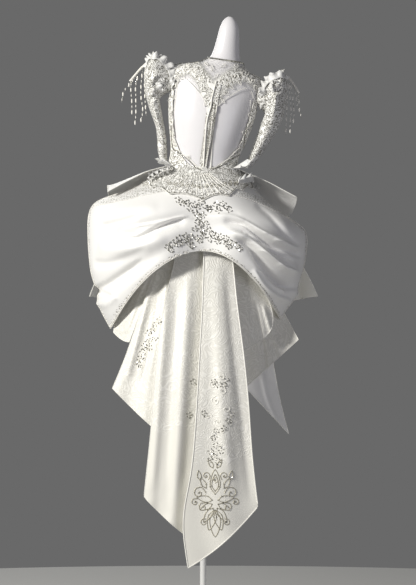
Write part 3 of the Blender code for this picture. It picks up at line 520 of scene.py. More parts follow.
for node in ("train_left", "train_right", "train_flare"):
    press(pieces[node], TRAIN_FOLDS, STRAIGHT_BACK)
SIDE_FOLDS = (
    Fold(((255, 300), (262, 335), (268, 385)), 0.010, 0.006, -0.008),
    Fold(((262, 300), (272, 335), (282, 352)), 0.008, 0.012, 0.008),
    Fold(((262, 372), (268, 400), (280, 428)), 0.008, 0.008, 0.006),
)
for node in ("side_drape", "side_point", "inner_swag_right"):
    press(pieces[node], SIDE_FOLDS, STRAIGHT_BACK)
press(pieces["inner_swag_left"], [
    Fold(((150, 270), (138, 300), (124, 338)), 0.012, 0.010, 0.009),
    Fold(((140, 275), (128, 300), (112, 325)), 0.010, 0.008, -0.009)], STRAIGHT_BACK)
FRONT_FOLDS = [
    Fold(((POLE_COLUMN + 0.40 * c, 180), (POLE_COLUMN + 0.75 * c, 235), (POLE_COLUMN + c, 290)),
         0.014, 0.010, depth)
    for c, depth in ((-88, 0.007), (-66, -0.006), (-38, 0.009), (-14, -0.006), (12, 0.007), (36, -0.007),
                     (60, 0.008), (86, -0.006))
]
press(pieces["front_skirt"], FRONT_FOLDS, FORWARD)
press(pieces["peplum"], [
    Fold(((POLE_COLUMN + 0.5 * c, 176), (POLE_COLUMN + c, 212)), 0.012, 0.012, depth)
    for c, depth in ((-70, 0.004), (-40, -0.003), (-10, 0.004), (22, -0.003), (50, 0.004), (78, -0.003))
], FORWARD)
print("folds:", len(BUSTLE_FOLDS) + len(TRAIN_FOLDS) + len(SIDE_FOLDS) + len(FRONT_FOLDS))

# The peplum's back corner at the left lies higher than its solid. Each pair is a start and a fade.
PEPLUM_BACK, PEPLUM_LEFT, PEPLUM_LIFT = (-0.03, 0.05), (0.10, 0.12), 0.012
points = points_of(pieces["peplum"])
behind = ease((points[:, 1] - PEPLUM_BACK[0]) / PEPLUM_BACK[1])
points[:, 2] += PEPLUM_LIFT * (behind * ease((points[:, 0] - PEPLUM_LEFT[0]) / PEPLUM_LEFT[1]))
put_points(pieces["peplum"], points)

# %% [markdown]
# The sleeves are gathered into their heads. Their pleats fan out from the shoulder seam, and
# stand away from the middle of the sleeve at its back and its front alike.

# %% Gather the sleeve heads
SLEEVE_MIDDLE, SLEEVE_FADE = -0.004, 0.02
PLEAT_WIDTH, PLEAT_LIP, PLEAT_DEPTH = 0.004, 0.006, 0.006


def gather(piece, paths):
    """Pleats along paths, up and down by turns, at the back and the front alike."""
    pleats = [Fold(path, PLEAT_WIDTH, PLEAT_LIP, PLEAT_DEPTH * (-1) ** k) for k, path in enumerate(paths)]
    points = points_of(piece)
    side = np.clip((points[:, 1] - SLEEVE_MIDDLE) / SLEEVE_FADE, -1, 1)
    points[:, 1] += side * relief(points, pleats)
    put_points(piece, points)


gather(pieces["sleeve_left"], [
    ((172 + 0.2 * k, 64 + 5 * k), (160 - 1.5 * k, 60 + 7 * k), (147, 62 + 11 * k)) for k in range(7)])
gather(pieces["sleeve_right"], [
    ((258, 100 - 4 * k), (268, 98 - 5.5 * k), (285 - 1.5 * k, 92 - 4.2 * k)) for k in range(6)])

# %% [markdown]
# How closely the lace covers its net is painted piece by piece. The brocade stops above the
# points of the train, where plain satin carries the ornament.

# %% Paint the lace's cover and the brocade
V_BAND = ((172, 84), (178, 72), (190, 65), (200, 74), (206, 84), (209, 100), (214, 96), (220, 86),
          (232, 76), (247, 73), (257, 84), (260, 94))
ARM_BAND = ((166, 66), (170, 84), (172, 100))
BARE_NET = 0.06
BROCADE_ENDS = {"train_left": 432, "train_right": 462}
BELOW_ALL = 900
for node, piece in pieces.items():
    points = points_of(piece)
    if piece.data.materials[0] in (lace, sheer_lace):
        cover = np.full(len(points), 1.0)
        if node.startswith("yoke"):
            scrolled = relief(points, [Fold(V_BAND, 0.026, 0.026, 1.0), Fold(ARM_BAND, 0.020, 0.020, 1.0)])
            cover = BARE_NET + (1 - BARE_NET) * ease(scrolled * 2.2 - 0.3)
        paint(piece, "cover", cover)
    if piece.data.materials[0] is brocade:
        end = BROCADE_ENDS.get(node, BELOW_ALL) + 4 * np.sin(column_at(points[:, 0]) / 5)
        paint(piece, "brocade", ease((end - row_at(points[:, 2])) / 5))
print("painted")

# %% [markdown]
# ## Trim
# Trim is sewn on, so each bead and cord needs the cloth's surface under it. A ray is shot at
# the dress from behind, or from the front, at a place in the picture, and the trim sits on the
# point that it meets.

# %% Find the cloth under a place
def surface_of(*nodes):
    trees = [
        BVHTree.FromPolygons(points_of(piece).tolist(), [tuple(p.vertices) for p in piece.data.polygons])
        for piece in (pieces[node] for node in nodes)]

    def under(column, row, from_behind=True):
        way = -1 if from_behind else 1
        start = Vector((across(column), -2 * way, height(row)))
        best = None
        for tree in trees:
            place, normal, _, far = tree.ray_cast(start, Vector((0, way, 0)))
            if place and (best is None or far < best[2]):
                best = (place, normal, far)
        return best and best[:2]

    return under


def registered(piece, finish):
    """Gives a trim piece its finish, and hangs it under the root body."""
    piece.data.materials.clear()
    piece.data.materials.append(finish)
    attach(piece, "root")
    return piece


def thicken(piece, radius):
    """Makes round cords of a piece's curves or loose edges."""
    pick(piece)
    if piece.type == "MESH":
        bpy.ops.object.convert(target="CURVE")
    piece.data.bevel_depth = radius
    piece.data.bevel_resolution = 1
    piece.data.use_fill_caps = True
    bpy.ops.object.convert(target="MESH")
    bpy.ops.object.shade_smooth()


def strew(name, shape, placings, finish):
    """One object from many copies of a small shape. A placing is a point, a normal, a turn
    about the normal in degrees, and a size along, across and out of the cloth."""
    base = points_of(shape)
    corners = [tuple(p.vertices) for p in shape.data.polygons]
    verts, faces = [], []
    for at, normal, turn, size in placings:
        up = normal.normalized()
        right = up.cross(Vector((0, 0, 1))).normalized()
        level = up.cross(right)
        a = math.radians(turn)
        long = right * math.cos(a) + level * math.sin(a)
        wide = up.cross(long)
        turned = (base * size) @ np.array([long, wide, up]) + np.array(at)
        faces += [tuple(i + len(verts) * len(base) for i in f) for f in corners]
        verts.append(turned)
    mesh = bpy.data.meshes.new(name)
    mesh.from_pydata(np.concatenate(verts).tolist(), [], faces)
    mesh.polygons.foreach_set("use_smooth", [shape.data.polygons[0].use_smooth] * len(faces))
    piece = new_object(name, mesh)
    return registered(piece, finish)


def sewn(name, paths, radius, finish, under, lift=0.5, from_behind=True, between=5):
    """Cords that lie on the cloth along paths in the picture, as one mesh."""
    cords = bpy.data.curves.new(name, "CURVE")
    cords.dimensions = "3D"
    for path in paths:
        lies = []
        for column, row in flowing(path, between):
            met = under(column, row, from_behind)
            if met:
                at, normal = met
                lies.append(at + normal * radius * lift)
        if len(lies) > 2:
            spline = cords.splines.new("POLY")
            spline.points.add(len(lies) - 1)
            for point, at in zip(spline.points, lies):
                point.co = (*at, 1)
    piece = new_object(name, cords)
    thicken(piece, radius)
    return registered(piece, finish)


def pattern_shape(name):
    shape = bpy.context.object
    shape.name = name
    for collection in list(shape.users_collection):
        collection.objects.unlink(shape)
    return shape


pick(pieces["bustle"])
bpy.ops.mesh.primitive_ico_sphere_add(subdivisions=1, radius=0.5)
bpy.ops.object.shade_smooth()
round_bead = pattern_shape("round_bead")
bpy.ops.object.select_all(action="DESELECT")
bpy.ops.mesh.primitive_cone_add(vertices=6, radius1=0.5, radius2=0.22, depth=0.5, location=(0, 0, 0.15))
bpy.ops.object.transform_apply(location=True)
cut_stone = pattern_shape("cut_stone")
pick(pieces["bustle"])
bpy.ops.object.select_all(action="DESELECT")
bpy.ops.mesh.primitive_uv_sphere_add(segments=6, ring_count=3, radius=0.5)
pointed_stone = pattern_shape("pointed_stone")
tips = points_of(pointed_stone)
tips = tips[:, (2, 0, 1)] * (1.0, 0.42, 0.36)
put_points(pointed_stone, tips)
print("bead faces:", len(round_bead.data.polygons), "stone faces:", len(cut_stone.data.polygons))

# %% [markdown]
# The back is fastened by a placket down its middle: a plain satin cord, a close row of covered
# buttons with crystals beside them, and a bound edge.

# %% Placket, opening and crystals
SIDES = ("bodice_side_left", "bodice_side_right")
back = surface_of("centre_strip", "yoke_back", "basque", "dress_form", *SIDES)
PLACKET = ((216.5, 80), (212, 97), (210.8, 106), (207, 120), (205, 142), (203.4, 166))
BUTTONS = ((214.4, 103), (212, 121.6), (210, 139.5), (207.3, 157), (205.4, 167))
BOUND_EDGE = ((217, 105), (214.8, 123), (212.4, 142), (210.8, 167.5))
OPENING_LEFT = ((177, 77), (174, 100), (171, 125), (172.5, 146), (177.6, 151), (187.8, 158.6),
                (194, 165), (201, 170))
OPENING_RIGHT = ((252, 100), (251.6, 121), (246, 131), (242.7, 149.7), (237.6, 154.8), (224.8, 162.4),
                 (215.9, 168.2), (211, 168))
sewn("placket_cord", [PLACKET], 0.0030, piping, back)
sewn("placket_bound_edge", [BOUND_EDGE], 0.0022, piping, back)
TURN_STEP, TURNS = 47.0, 5  # neighbours are turned so, in degrees, and after so many it starts again


def spaced(path, gap):
    """Places along a path in the picture, that many metres apart."""
    run = flowing(path, 12)
    lengths = np.concatenate([[0], np.cumsum(np.hypot(*np.diff(run, axis=0).T) * PIXEL)])
    at = np.arange(gap / 2, lengths[-1], gap)
    return list(zip(np.interp(at, lengths, run[:, 0]), np.interp(at, lengths, run[:, 1])))


def laid(places, under, size, turn=0.0, lift=0.3, from_behind=True):
    """Placings for strew at places in the picture, each lifted by a share of its height."""
    out = []
    for i, (column, row) in enumerate(places):
        met = under(column, row, from_behind)
        if met:
            s = np.array(size)
            out.append((met[0] + met[1] * s[2] * lift, met[1], turn + TURN_STEP * (i % TURNS), s))
    return out


buttons = strew("covered_buttons", round_bead, laid(
    spaced(BUTTONS, 0.0085), back, (0.0068, 0.0068, 0.005)), pearl)
strew("placket_crystals", cut_stone, laid(
    [(c + aside, r + 0.6 * aside) for aside in (-2.2, -1.2, 1.2, 2.2) for c, r in spaced(BUTTONS, 0.0060)],
    back, (0.0042, 0.0042, 0.0032)), silver_glass)
edge_beads = strew("opening_beads", round_bead, laid(
    spaced(OPENING_LEFT[2:], 0.0048) + spaced(OPENING_RIGHT[1:], 0.0048),
    back, (0.0060, 0.0060, 0.0045)), silver_glass)
sewn("opening_cords", [
    [(c + 1.4, r - 1.2) for c, r in OPENING_LEFT], [(c - 1.4, r - 1.2) for c, r in OPENING_RIGHT],
], 0.0016, piping, back)
print("buttons and beads:", len(buttons.data.vertices), len(edge_beads.data.vertices))

# %% [markdown]
# Cut edges are bound. The binding follows the outer line of a sheet's rim, which is where two
# faces meet at more than 60 degrees and the wider of the two looks outwards.

# %% Bind the edges
RIM_FACE = 0.0009  # a face of a rim is narrower than this, and a face of the cloth is wider
RIM_ANGLE = math.radians(60)
SHORTEST_EDGE = 0.0006


def rim_of(piece, wanted=None, toward=OUTWARD):
    """The edges along a sheet's outer rim, each with its ends, its face's normal and the way in."""
    sheet = bmesh.new()
    sheet.from_mesh(piece.data)
    found = []
    for edge in sheet.edges:
        if len(edge.link_faces) != 2 or edge.calc_face_angle() < RIM_ANGLE:
            continue
        length = edge.calc_length()
        narrow, face = sorted(edge.link_faces, key=lambda f: f.calc_area())
        if length < SHORTEST_EDGE or not narrow.calc_area() <= RIM_FACE * length <= face.calc_area():
            continue
        a, b = (v.co.copy() for v in edge.verts)
        middle = (a + b) / 2
        if face.normal.dot(Vector((middle.x, middle.y + toward, 0))) < 0:
            continue
        if wanted is None or wanted(column_at(middle.x), row_at(middle.z)):
            found.append((a, b, face.normal.copy(), (face.calc_center_median() - middle).normalized()))
    sheet.free()
    return found


def bind(name, edges, radius):
    """A piped cord along edges."""
    places, pairs = {}, []
    for a, b, _, _ in edges:
        pairs.append([places.setdefault(tuple(round(v, 6) for v in end), len(places)) for end in (a, b)])
    mesh = bpy.data.meshes.new(name)
    mesh.from_pydata(list(places), pairs, [])
    piece = new_object(name, mesh)
    thicken(piece, radius)
    return registered(piece, piping)


NECK_ROW = 63
BINDINGS = {
    "satin": {"bustle": 0.0016, "peplum": 0.0012, "train_left": 0.0014, "train_right": 0.0022,
              "train_flare": 0.0014, "side_drape": 0.0014, "side_point": 0.0012,
              "inner_swag_left": 0.0012, "inner_swag_right": 0.0012},
    "lace": {"basque": 0.0013, "yoke_back": 0.0012, "sleeve_left": 0.0014, "sleeve_right": 0.0014},
}
for slot, radii in BINDINGS.items():
    for node, radius in radii.items():
        edges = rim_of(pieces[node], lambda column, row: row > NECK_ROW or node != "yoke_back")
        binding = bind(node + "_binding", edges, radius)
        print(binding.name, len(edges), "edges", len(binding.data.polygons), "faces")
bind("front_skirt_binding", rim_of(pieces["front_skirt"], toward=FORWARD), 0.0014)


def along_rim(edges, size, inward, lift=0.3):
    """Placings beside a rim, one on each of its edges, each moved in over the cloth."""
    return [((a + b) / 2 + way * inward + normal * size[2] * lift, normal, 0.0, np.array(size))
            for a, b, normal, way in edges]


arch = rim_of(pieces["bustle"], lambda column, row: row > 246)
upper_edge = rim_of(pieces["bustle"], lambda column, row: 186 < row < 246 and not 175 < column < 232)
basque_hem = rim_of(pieces["basque"], lambda column, row: row > 172)
neck = rim_of(pieces["yoke_back"], lambda column, row: row < NECK_ROW)

# The painted lace is as wide as given along the arch and the upper edge, and ends so many widths
# off. Two bands of it, drawn like folds, start at a share of their height.
ARCH_LACE, UPPER_LACE, LACE_END = 0.009, 0.024, 1.35
BAND_LEFT = ((88, 201), (104, 198), (125, 194), (148, 189), (172, 184), (182, 182))
BAND_RIGHT = ((234, 192), (246, 195), (258, 199), (271, 205), (287, 213), (300, 223), (310, 236))
BAND_START = 0.3
points = points_of(pieces["bustle"])
near = np.full(len(points), FAR)
for edge, wide in [(e, ARCH_LACE) for e in arch] + [(e, UPPER_LACE) for e in upper_edge]:
    near = np.minimum(near, np.linalg.norm(points - np.array((edge[0] + edge[1]) / 2), axis=1) / wide)
shown = relief(points, [Fold(BAND_LEFT, 0.020, 0.020, 1.0), Fold(BAND_RIGHT, 0.012, 0.012, 1.0)])
paint(pieces["bustle"], "band", np.maximum(ease((LACE_END - near) * 5), ease((shown - BAND_START) * 6)))
on_bustle = surface_of("bustle", "basque")
strew("lace_band_beads", round_bead, laid(
    [place for path, aside, down in ((BAND_LEFT, 0, 6), (BAND_LEFT, 0, -5), (BAND_RIGHT, -2, 3))
     for place in spaced([(c + aside, r + down) for c, r in path], 0.008)],
    on_bustle, (0.0044, 0.0044, 0.0036)), pearl)
for name, shape, edges, size, inward, finish in (
    ("arch_hem_beads", round_bead, arch, (0.0042, 0.0042, 0.0036), 0.0045, pearl),
    ("basque_hem_stones", cut_stone, basque_hem, (0.0040, 0.0040, 0.0030), 0.0030, silver_glass),
    ("bustle_edge_beads", round_bead, upper_edge, (0.0046, 0.0046, 0.0036), 0.0060, pearl),
    ("neckline_stones", cut_stone, neck, (0.0066, 0.0066, 0.0050), 0.0, silver_glass),
):
    strew(name, shape, along_rim(edges, size, inward), finish)
print("hem beads:", len(arch), len(upper_edge), len(basque_hem), len(neck))

# %% [markdown]
# The lace of the yoke, the side panels and the train's ornament is drawn in cords: curls that
# wind in to a point, and leaves that close on themselves. Each table says where, how large and
# which way round, in pixels and degrees.

# %% Curls and leaves
Curl = namedtuple("Curl", "column row size start way", defaults=(1,))
Leaf = namedtuple("Leaf", "column row length angle")


def curled(curl, turns=1.25):
    share = np.linspace(0, 1, 8)
    a = np.radians(curl.start) + curl.way * 2 * np.pi * turns * share
    reach = curl.size * (1 - 0.85 * share)
    return [(curl.column + r * math.cos(t), curl.row - r * math.sin(t)) for r, t in zip(reach, a)]


def leaved(leaf):
    a = math.radians(leaf.angle)
    return [(leaf.column + leaf.length * (u * math.cos(a) - v * math.sin(a)),
             leaf.row - leaf.length * (u * math.sin(a) + v * math.cos(a)))
            for u, v in ((0, 0), (0.3, 0.20), (0.7, 0.16), (1, 0), (0.7, -0.16), (0.3, -0.20), (0, 0))]


def drawn(marks):
    """A path for each curl or leaf."""
    return [curled(mark) if isinstance(mark, Curl) else leaved(mark) for mark in marks]


YOKE_CURLS = (
    Curl(186, 66, 4.6, 180), Curl(194, 71, 4.4, 200, -1), Curl(201, 78, 4.4, 120), Curl(205, 87, 3.6, 90, -1),
    Curl(208, 97, 3.4, 90), Curl(181, 75, 3.8, 30, -1), Curl(218, 84, 4.2, 30), Curl(227, 80, 4.6, 0, -1),
    Curl(236, 75, 4.6, 160), Curl(245, 72, 4.4, 20, -1), Curl(253, 79, 4.0, 90), Curl(220, 94, 3.4, 60),
    Curl(226, 92, 3.0, 30, -1), Curl(217, 103, 3.0, 90, -1), Curl(196, 62, 3.4, 0), Curl(236, 64, 3.4, 200),
)
YOKE_LEAVES = (
    Leaf(190, 63, 6, 150), Leaf(198, 68, 6, 200), Leaf(204, 74, 6, 250), Leaf(178, 72, 6, 240),
    Leaf(221, 79, 6, 60), Leaf(231, 77, 6, 30), Leaf(240, 70, 6, 10), Leaf(249, 76, 6, 300),
    Leaf(256, 83, 6, 260), Leaf(222, 98, 5, 300), Leaf(206, 101, 5, 250), Leaf(230, 85, 5, 320),
    Leaf(239, 80, 5, 300), Leaf(212, 70, 6, 90), Leaf(215, 78, 6, 60), Leaf(208, 64, 5, 140),
    Leaf(222, 66, 5, 40),
)
SIDE_CURLS = (
    Curl(174.5, 84, 3, 90), Curl(172, 96, 3, 60, -1), Curl(171, 108, 3, 90), Curl(170.5, 120, 3, 60, -1),
    Curl(170, 133, 3, 90), Curl(173, 144, 3, 60, -1), Curl(254, 105, 3, 90, -1), Curl(251, 114, 3, 60),
    Curl(249, 123, 3, 90, -1), Curl(245, 132, 3, 60), Curl(243, 141, 3, 90, -1), Curl(189, 157, 2.6, 60),
    Curl(234.4, 152.6, 2.6, 120, -1), Curl(181, 160, 3, 0), Curl(232, 162, 3, 180, -1),
)
on_yoke = surface_of("yoke_back", "back_net_left", "back_net_right", "basque", *SIDES)
yoke_marks = YOKE_CURLS + SIDE_CURLS + YOKE_LEAVES
yoke_cords = sewn("yoke_cords", drawn(yoke_marks), 0.0011, piping, on_yoke, between=3)
strew("yoke_stones", cut_stone, laid(
    [mark[:2] for mark in yoke_marks], on_yoke, (0.0048, 0.0048, 0.0034)), silver_glass)
strew("yoke_net_beads", round_bead, laid(
    [(column + 1.3 * (row % 2), row + 0.7 * (column % 4))
     for column in range(186, 246, 3) for row in range(58, 78, 3)],
    on_yoke, (0.0030, 0.0030, 0.0024)), pearl)
front_cords = sewn("front_yoke_cords", drawn(YOKE_CURLS + YOKE_LEAVES), 0.0011, piping,
                   surface_of("yoke_front", "bodice_front"), from_behind=False, between=3)
on_basque = surface_of("basque", "bustle")
basque_cords = sewn("basque_cords", [
    ((199 + 0.30 * (c - POLE_COLUMN), 173), (201 + 0.62 * (c - POLE_COLUMN), 184),
     (c, 196 - abs(c - POLE_COLUMN) * 0.1)) for c in range(167, 243, 6)], 0.0013, piping, on_basque)
sewn("basque_curls", drawn(
    Curl(c, 187 - abs(c - POLE_COLUMN) * 0.12, 2.6, 90, 1 if c < POLE_COLUMN else -1) for c in BASQUE_COLUMNS
), 0.0009, gilt_cord, on_basque, between=3)
print("cords:", *(len(cords.data.polygons) for cords in (yoke_cords, front_cords, basque_cords)))

# %% [markdown]
# The train's ornament is a drop between two scrolls over a spray of petals, drawn here after
# its own plan at the photo's scale. Vines of small curls climb from it along the train.

# %% Ornament of the train
ORNAMENT_LEAVES = (
    Leaf(215, 492, 24, 90), Leaf(215, 489, 16, 90), Leaf(212, 498, 15, 170), Leaf(218, 498, 15, 10),
    Leaf(212, 502, 13, 205), Leaf(218, 502, 13, 335), Leaf(213, 506, 16, 235), Leaf(217, 506, 16, 305),
    Leaf(214, 508, 20, 255), Leaf(216, 508, 20, 285), Leaf(215, 508, 26, 270), Leaf(206, 486, 11, 120),
    Leaf(224, 486, 11, 60), Leaf(200, 478, 9, 100), Leaf(230, 478, 9, 80), Leaf(213, 466, 9, 120),
    Leaf(217, 466, 9, 60),
)
ORNAMENT_CURLS = (
    Curl(199, 491, 7, 0), Curl(231, 491, 7, 180, -1), Curl(203, 505, 5, 60), Curl(227, 505, 5, 120, -1),
    Curl(206, 474, 4.5, 300), Curl(224, 474, 4.5, 240, -1), Curl(215, 478, 3.2, 270), Curl(204, 520, 4, 60),
    Curl(226, 520, 4, 120, -1), Curl(195, 500, 4, 60), Curl(235, 500, 4, 120, -1),
)
VINE_CURLS = (
    Curl(214, 452, 4, 270), Curl(220, 445, 4, 270, -1), Curl(212, 437, 4, 270), Curl(222, 430, 4.5, 240, -1),
    Curl(229, 421, 4, 200), Curl(218, 421, 4, 300, -1), Curl(208, 415, 4, 0), Curl(226, 408, 4.5, 90, -1),
    Curl(216, 400, 5, 90), Curl(222, 390, 4.5, 60, -1), Curl(213, 384, 4, 90), Curl(221, 376, 4, 90, -1),
    Curl(196, 384, 3.5, 90), Curl(191, 414, 3.5, 90), Curl(160, 322, 3.5, 60), Curl(154, 330, 3.5, 240, -1),
    Curl(151, 341, 3.5, 60), Curl(147, 349, 3.5, 240, -1), Curl(144, 358, 3.5, 60),
    Curl(141, 367, 3, 240, -1),
)
on_train = surface_of("train_left", "train_right", "train_flare")
train_cords = sewn("train_cords", drawn(ORNAMENT_LEAVES + ORNAMENT_CURLS), 0.0014, gilt_cord,
                   on_train, between=4)
sewn("train_vines", drawn(VINE_CURLS), 0.0011, piping, on_train, between=3)
ornament_stones = strew("ornament_stones", cut_stone, laid(
    [mark[:2] for mark in ORNAMENT_CURLS + VINE_CURLS + ORNAMENT_LEAVES]
    + [place for leaf in ORNAMENT_LEAVES for place in leaved(leaf)[1:6:2]],
    on_train, (0.0054, 0.0054, 0.0036)), silver_glass)
GROUND = (215, 495)  # the middle of an oval of small beads
strew("ornament_beads", round_bead, laid(
    [(GROUND[0] + r * math.cos(t), GROUND[1] + 1.25 * r * math.sin(t))
     for r in (6, 10, 14, 18) for t in np.arange(0, 2 * math.pi, 2.4 / r)],
    on_train, (0.0026, 0.0026, 0.0022)), pearl)
print("ornament:", len(train_cords.data.polygons), len(ornament_stones.data.polygons))

# %% [markdown]
# A spray stands off each sleeve's head: threads with pearly drops hang from a short tab. In the
# CAD each spray is one small solid, and here its threads and drops are separate.

# %% Sprays on the shoulders
Spray = namedtuple("Spray", "side tab threads")
SPRAYS = (
    Spray("left", ((146, 60.5), (140, 66), (134, 73), (129, 79)), (
        ((140, 67), (132, 78), (124, 87.5), (121.5, 94), (120.7, 101)),
        ((137, 70), (131, 79), (130, 88), (131, 100), (131, 115)),
        ((139, 68), (135, 82), (135, 94), (135, 103), (135, 113), (134, 123)),
        ((142, 65), (140, 90), (142, 108), (140, 119)), ((144, 63), (144, 90), (145.6, 115.5)))),
    Spray("right", ((287, 73), (291, 77), (296, 84), (300, 91)), (
        ((292, 78), (295.7, 88), (298, 100), (301, 110), (302.5, 117)),
        ((290, 77), (293, 92), (295, 111), (294, 120)),
        ((289, 76), (291, 95), (292, 110), (291, 121), (291, 131.5)),
        ((288, 75), (288, 100), (286.5, 133.5)), ((294, 81), (299, 92), (300, 100)))),
)
BACKWARD = Vector((0, 1, 0))
BARE_THREAD = 8
DROP = np.array((0.014, 0.011, 0.011))


def hung(name, paths, radius, finish):
    """Cords in the open, along paths in the picture, all at one depth."""
    def in_the_open(column, row, _):
        return Vector((across(column), 0.0, height(row))), BACKWARD

    return sewn(name, paths, radius, finish, in_the_open, lift=0.0)


for spray in SPRAYS:
    node = "shoulder_spray_" + spray.side
    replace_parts(hung(node + "_tab", [spray.tab], 0.0042, pearl), node)
    hung(node + "_threads", spray.threads, 0.0005, silver_glass)
    drops = [(np.array((across(c), 0.001, height(r))), BACKWARD, 90.0, DROP * (0.75 + 0.5 * (k % 2)))
             for path in spray.threads for k, (c, r) in enumerate(spaced(path, 0.020))
             if r > path[0][1] + BARE_THREAD]
    print(node, len(drops), "drops", strew(node + "_drops", pointed_stone, drops, pearl).name)

# %% [markdown]
# Pleated organza stands up round each sleeve's head and at the waist. Each frill is a strip that
# runs along a path in the picture, as wide as given, and waves to and fro.

# %% Organza frills
Frill = namedtuple("Frill", "name path width waves depth")
ACROSS = (0, 0.25, 0.5, 0.75, 1)
ROOT = 0.2  # the share of a frill's width on the near side of its path
ORGANZA_WALL = 0.0006


def frill(name, path, width, waves, depth, on, lift=0.006):
    run = flowing(path, 14)
    last = len(run) - 1
    rows = []
    for i, (column, row) in enumerate(run):
        met = on(column, row)
        if not met:
            continue
        at, normal = met
        share = i / last
        (c0, r0), (c1, r1) = run[max(i - 1, 0)], run[min(i + 1, last)]
        along = Vector((across(c1) - across(c0), 0, height(r1) - height(r0))).normalized()
        aside = normal.cross(along).normalized() * width
        wave = 0.3 + 0.7 * math.sin(2 * math.pi * waves * share)
        thin = math.sin(math.pi * min(max(share, 0.04), 0.96)) ** 0.5
        rows.append([at + normal * (lift + depth * wave * v * v) + aside * thin * (v - ROOT) for v in ACROSS])
    mesh = bpy.data.meshes.new(name)
    wide = len(ACROSS)
    mesh.from_pydata([tuple(p) for r in rows for p in r], [], [
        (i * wide + j, i * wide + j + 1, (i + 1) * wide + j + 1, (i + 1) * wide + j)
        for i in range(len(rows) - 1) for j in range(wide - 1)])
    piece = new_object(name, mesh)
    pick(piece)
    wall = piece.modifiers.new("wall", "SOLIDIFY")
    wall.thickness, wall.offset = ORGANZA_WALL, 0
    bpy.ops.object.modifier_apply(modifier="wall")
    bpy.ops.object.shade_smooth()
    return registered(piece, organza)


on_sleeves = surface_of("sleeve_left", "sleeve_right", "yoke_back", "dress_form")
for f in (
    Frill("left_head_frill", ((149, 58), (156, 58), (164, 64), (169, 74), (171, 84)), 0.030, 6, 0.014),
    Frill("left_top_frill", ((146, 66), (150, 57), (155, 55), (161, 58)), 0.022, 5, 0.010),
    Frill("left_inner_frill", ((172, 70), (173, 84), (170, 98), (167, 112)), 0.014, 6, 0.008),
    Frill("right_head_frill", ((262, 96), (266, 86), (274, 78), (284, 74)), 0.030, 6, 0.014),
    Frill("right_top_frill", ((264, 86), (272, 79), (281, 76), (288, 79)), 0.022, 5, 0.012),
    Frill("right_inner_frill", ((262, 100), (259, 112), (256, 124)), 0.014, 5, 0.008),
    Frill("right_rosette", ((280, 84), (276, 80), (271, 84), (273, 90), (279, 90)), 0.016, 9, 0.012),
    Frill("left_rosette", ((163, 76), (158, 78), (156, 84), (161, 89), (165, 85)), 0.016, 9, 0.012),
):
    print(f.name, len(frill(*f, on_sleeves).data.polygons))
on_waist = surface_of("basque", "bustle", "peplum")
for f in (
    Frill("left_waist_frill", ((172, 172), (164, 173), (155, 177), (149, 182)), 0.050, 5, 0.022),
    Frill("right_waist_frill", ((236, 186), (246, 184), (255, 182), (264, 183)), 0.045, 6, 0.020),
):
    print(f.name, len(frill(*f, on_waist, lift=0.018).data.polygons))

# %% [markdown]
# The bustle's applique is sprigs of pointed stones round a bead, thick in the middle of the
# back, and a thinner trail of them climbs the train.

# %% Beaded sprigs
chance = np.random.default_rng(7)


def sprigs(middles, under, stones=5, reach=2.5, size=0.0112):
    """Placings of the stones and the beads of sprigs round places in the picture."""
    points, rounds = [], []
    for column, row in middles:
        first = chance.uniform(0, 360)
        for k in range(stones):
            a = math.radians(first + 360 / stones * k + chance.uniform(-14, 14))
            away = reach * chance.uniform(0.8, 1.25)
            met = under(column + away * math.cos(a), row - away * math.sin(a))
            if met:
                s = size * chance.uniform(0.75, 1.1)
                points.append((met[0] + met[1] * s * 0.12, met[1], -math.degrees(a), np.array((s, s, s))))
        rounds += laid([(column, row)], under, (0.0052, 0.0052, 0.0045))
    return points, rounds


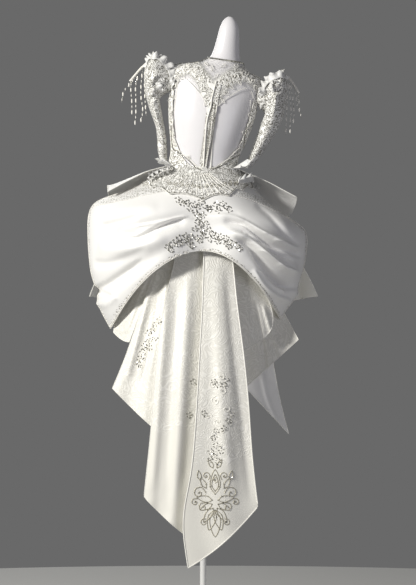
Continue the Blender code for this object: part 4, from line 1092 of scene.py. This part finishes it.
BUSTLE_SPRIGS = (
    (178, 200), (183, 204), (188, 203), (190, 209), (195, 205), (201, 202), (205, 206), (210, 209),
    (216, 205), (222, 204), (226, 207), (218, 211), (196, 214), (203, 216), (198, 222), (206, 224),
    (201, 230), (195, 229), (209, 231), (203, 236), (197, 238), (191, 237), (186, 236), (180, 238),
    (176, 241), (183, 242), (189, 243), (172, 245), (168, 247), (210, 239), (216, 236), (221, 237),
    (226, 239), (218, 242), (226, 244), (233, 244), (237, 246),
)
points, rounds = sprigs(BUSTLE_SPRIGS + tuple((c + 3, r + 3) for c, r in BUSTLE_SPRIGS[::2]), on_bustle)
bustle_stones = strew("bustle_sprig_stones", pointed_stone, points, silver_glass)
strew("bustle_sprig_beads", round_bead, rounds, pearl)
TRAIN_SPRIGS = (
    (160, 320), (156, 324), (153, 330), (149, 333), (155, 338), (148, 342), (144, 346), (150, 348),
    (143, 352), (140, 358), (139, 364), (193, 381), (214, 381), (218, 384), (226, 380), (224, 385),
    (189, 414), (204, 412), (231, 414), (228, 420), (224, 427), (216, 430), (214, 436), (216, 444),
    (211, 450), (221, 449), (214, 455), (218, 460), (210, 458),
)
points, rounds = sprigs(TRAIN_SPRIGS, on_train, size=0.0095)
train_stones = strew("train_sprig_stones", pointed_stone, points, silver_glass)
strew("train_sprig_beads", round_bead, rounds, pearl)
print("stones:", len(bustle_stones.data.polygons), len(train_stones.data.polygons))

# %% [markdown]
# ## Sheets
# Each cloth piece is listed with the size it was cut to. The width and length are estimates of
# a rectangle round the cut. The area is measured on the finished sheet, because a draped piece
# keeps the area that it was cut with.

Cut = namedtuple("Cut", "nodes width length held rests_on", defaults=("dress_form_worn",))
CUTS = (
    Cut("bustle", 1.30, 0.62, "gathered"), Cut("basque", 0.46, 0.16, "draped", "dress_form_worn bustle_worn"),
    Cut("peplum", 0.80, 0.28, "hung"), Cut("front_skirt", 1.10, 0.52, "hung"),
    Cut("train_left", 0.30, 1.30, "hung"), Cut("train_right", 0.30, 1.40, "hung"),
    Cut("train_flare", 0.16, 0.95, "hung"), Cut("inner_swag_left", 0.12, 0.60, "hung"),
    Cut("inner_swag_right", 0.16, 0.62, "hung"), Cut("side_drape", 0.20, 0.75, "hung"),
    Cut("side_point", 0.16, 0.85, "hung"), Cut("yoke_back yoke_front", 0.40, 0.17, "stretched"),
    Cut("back_net_left back_net_right", 0.16, 0.26, "stretched"),
    Cut("bodice_side_left bodice_side_right", 0.05, 0.17, "stretched"),
    Cut("bodice_front", 0.52, 0.27, "stretched"), Cut("centre_strip", 0.038, 0.30, "stretched"),
    Cut("sleeve_left sleeve_right", 0.42, 0.42, "gathered"),
    Cut("waist_tuft_left waist_tuft_right", 0.14, 0.06, "gathered", "basque_worn"),
)


def cloth_area(piece):
    """Half the surface of a thin closed sheet."""
    areas = np.empty(len(piece.data.polygons))
    piece.data.polygons.foreach_get("area", areas)
    return areas.sum() / 2


for cut in CUTS:
    for node in cut.nodes.split():
        piece = pieces[node]
        area = cloth_area(piece)
        print(f"{node:20s} {area:.4f} m2, {area / (cut.width * cut.length):.2f} of its cut's rectangle")
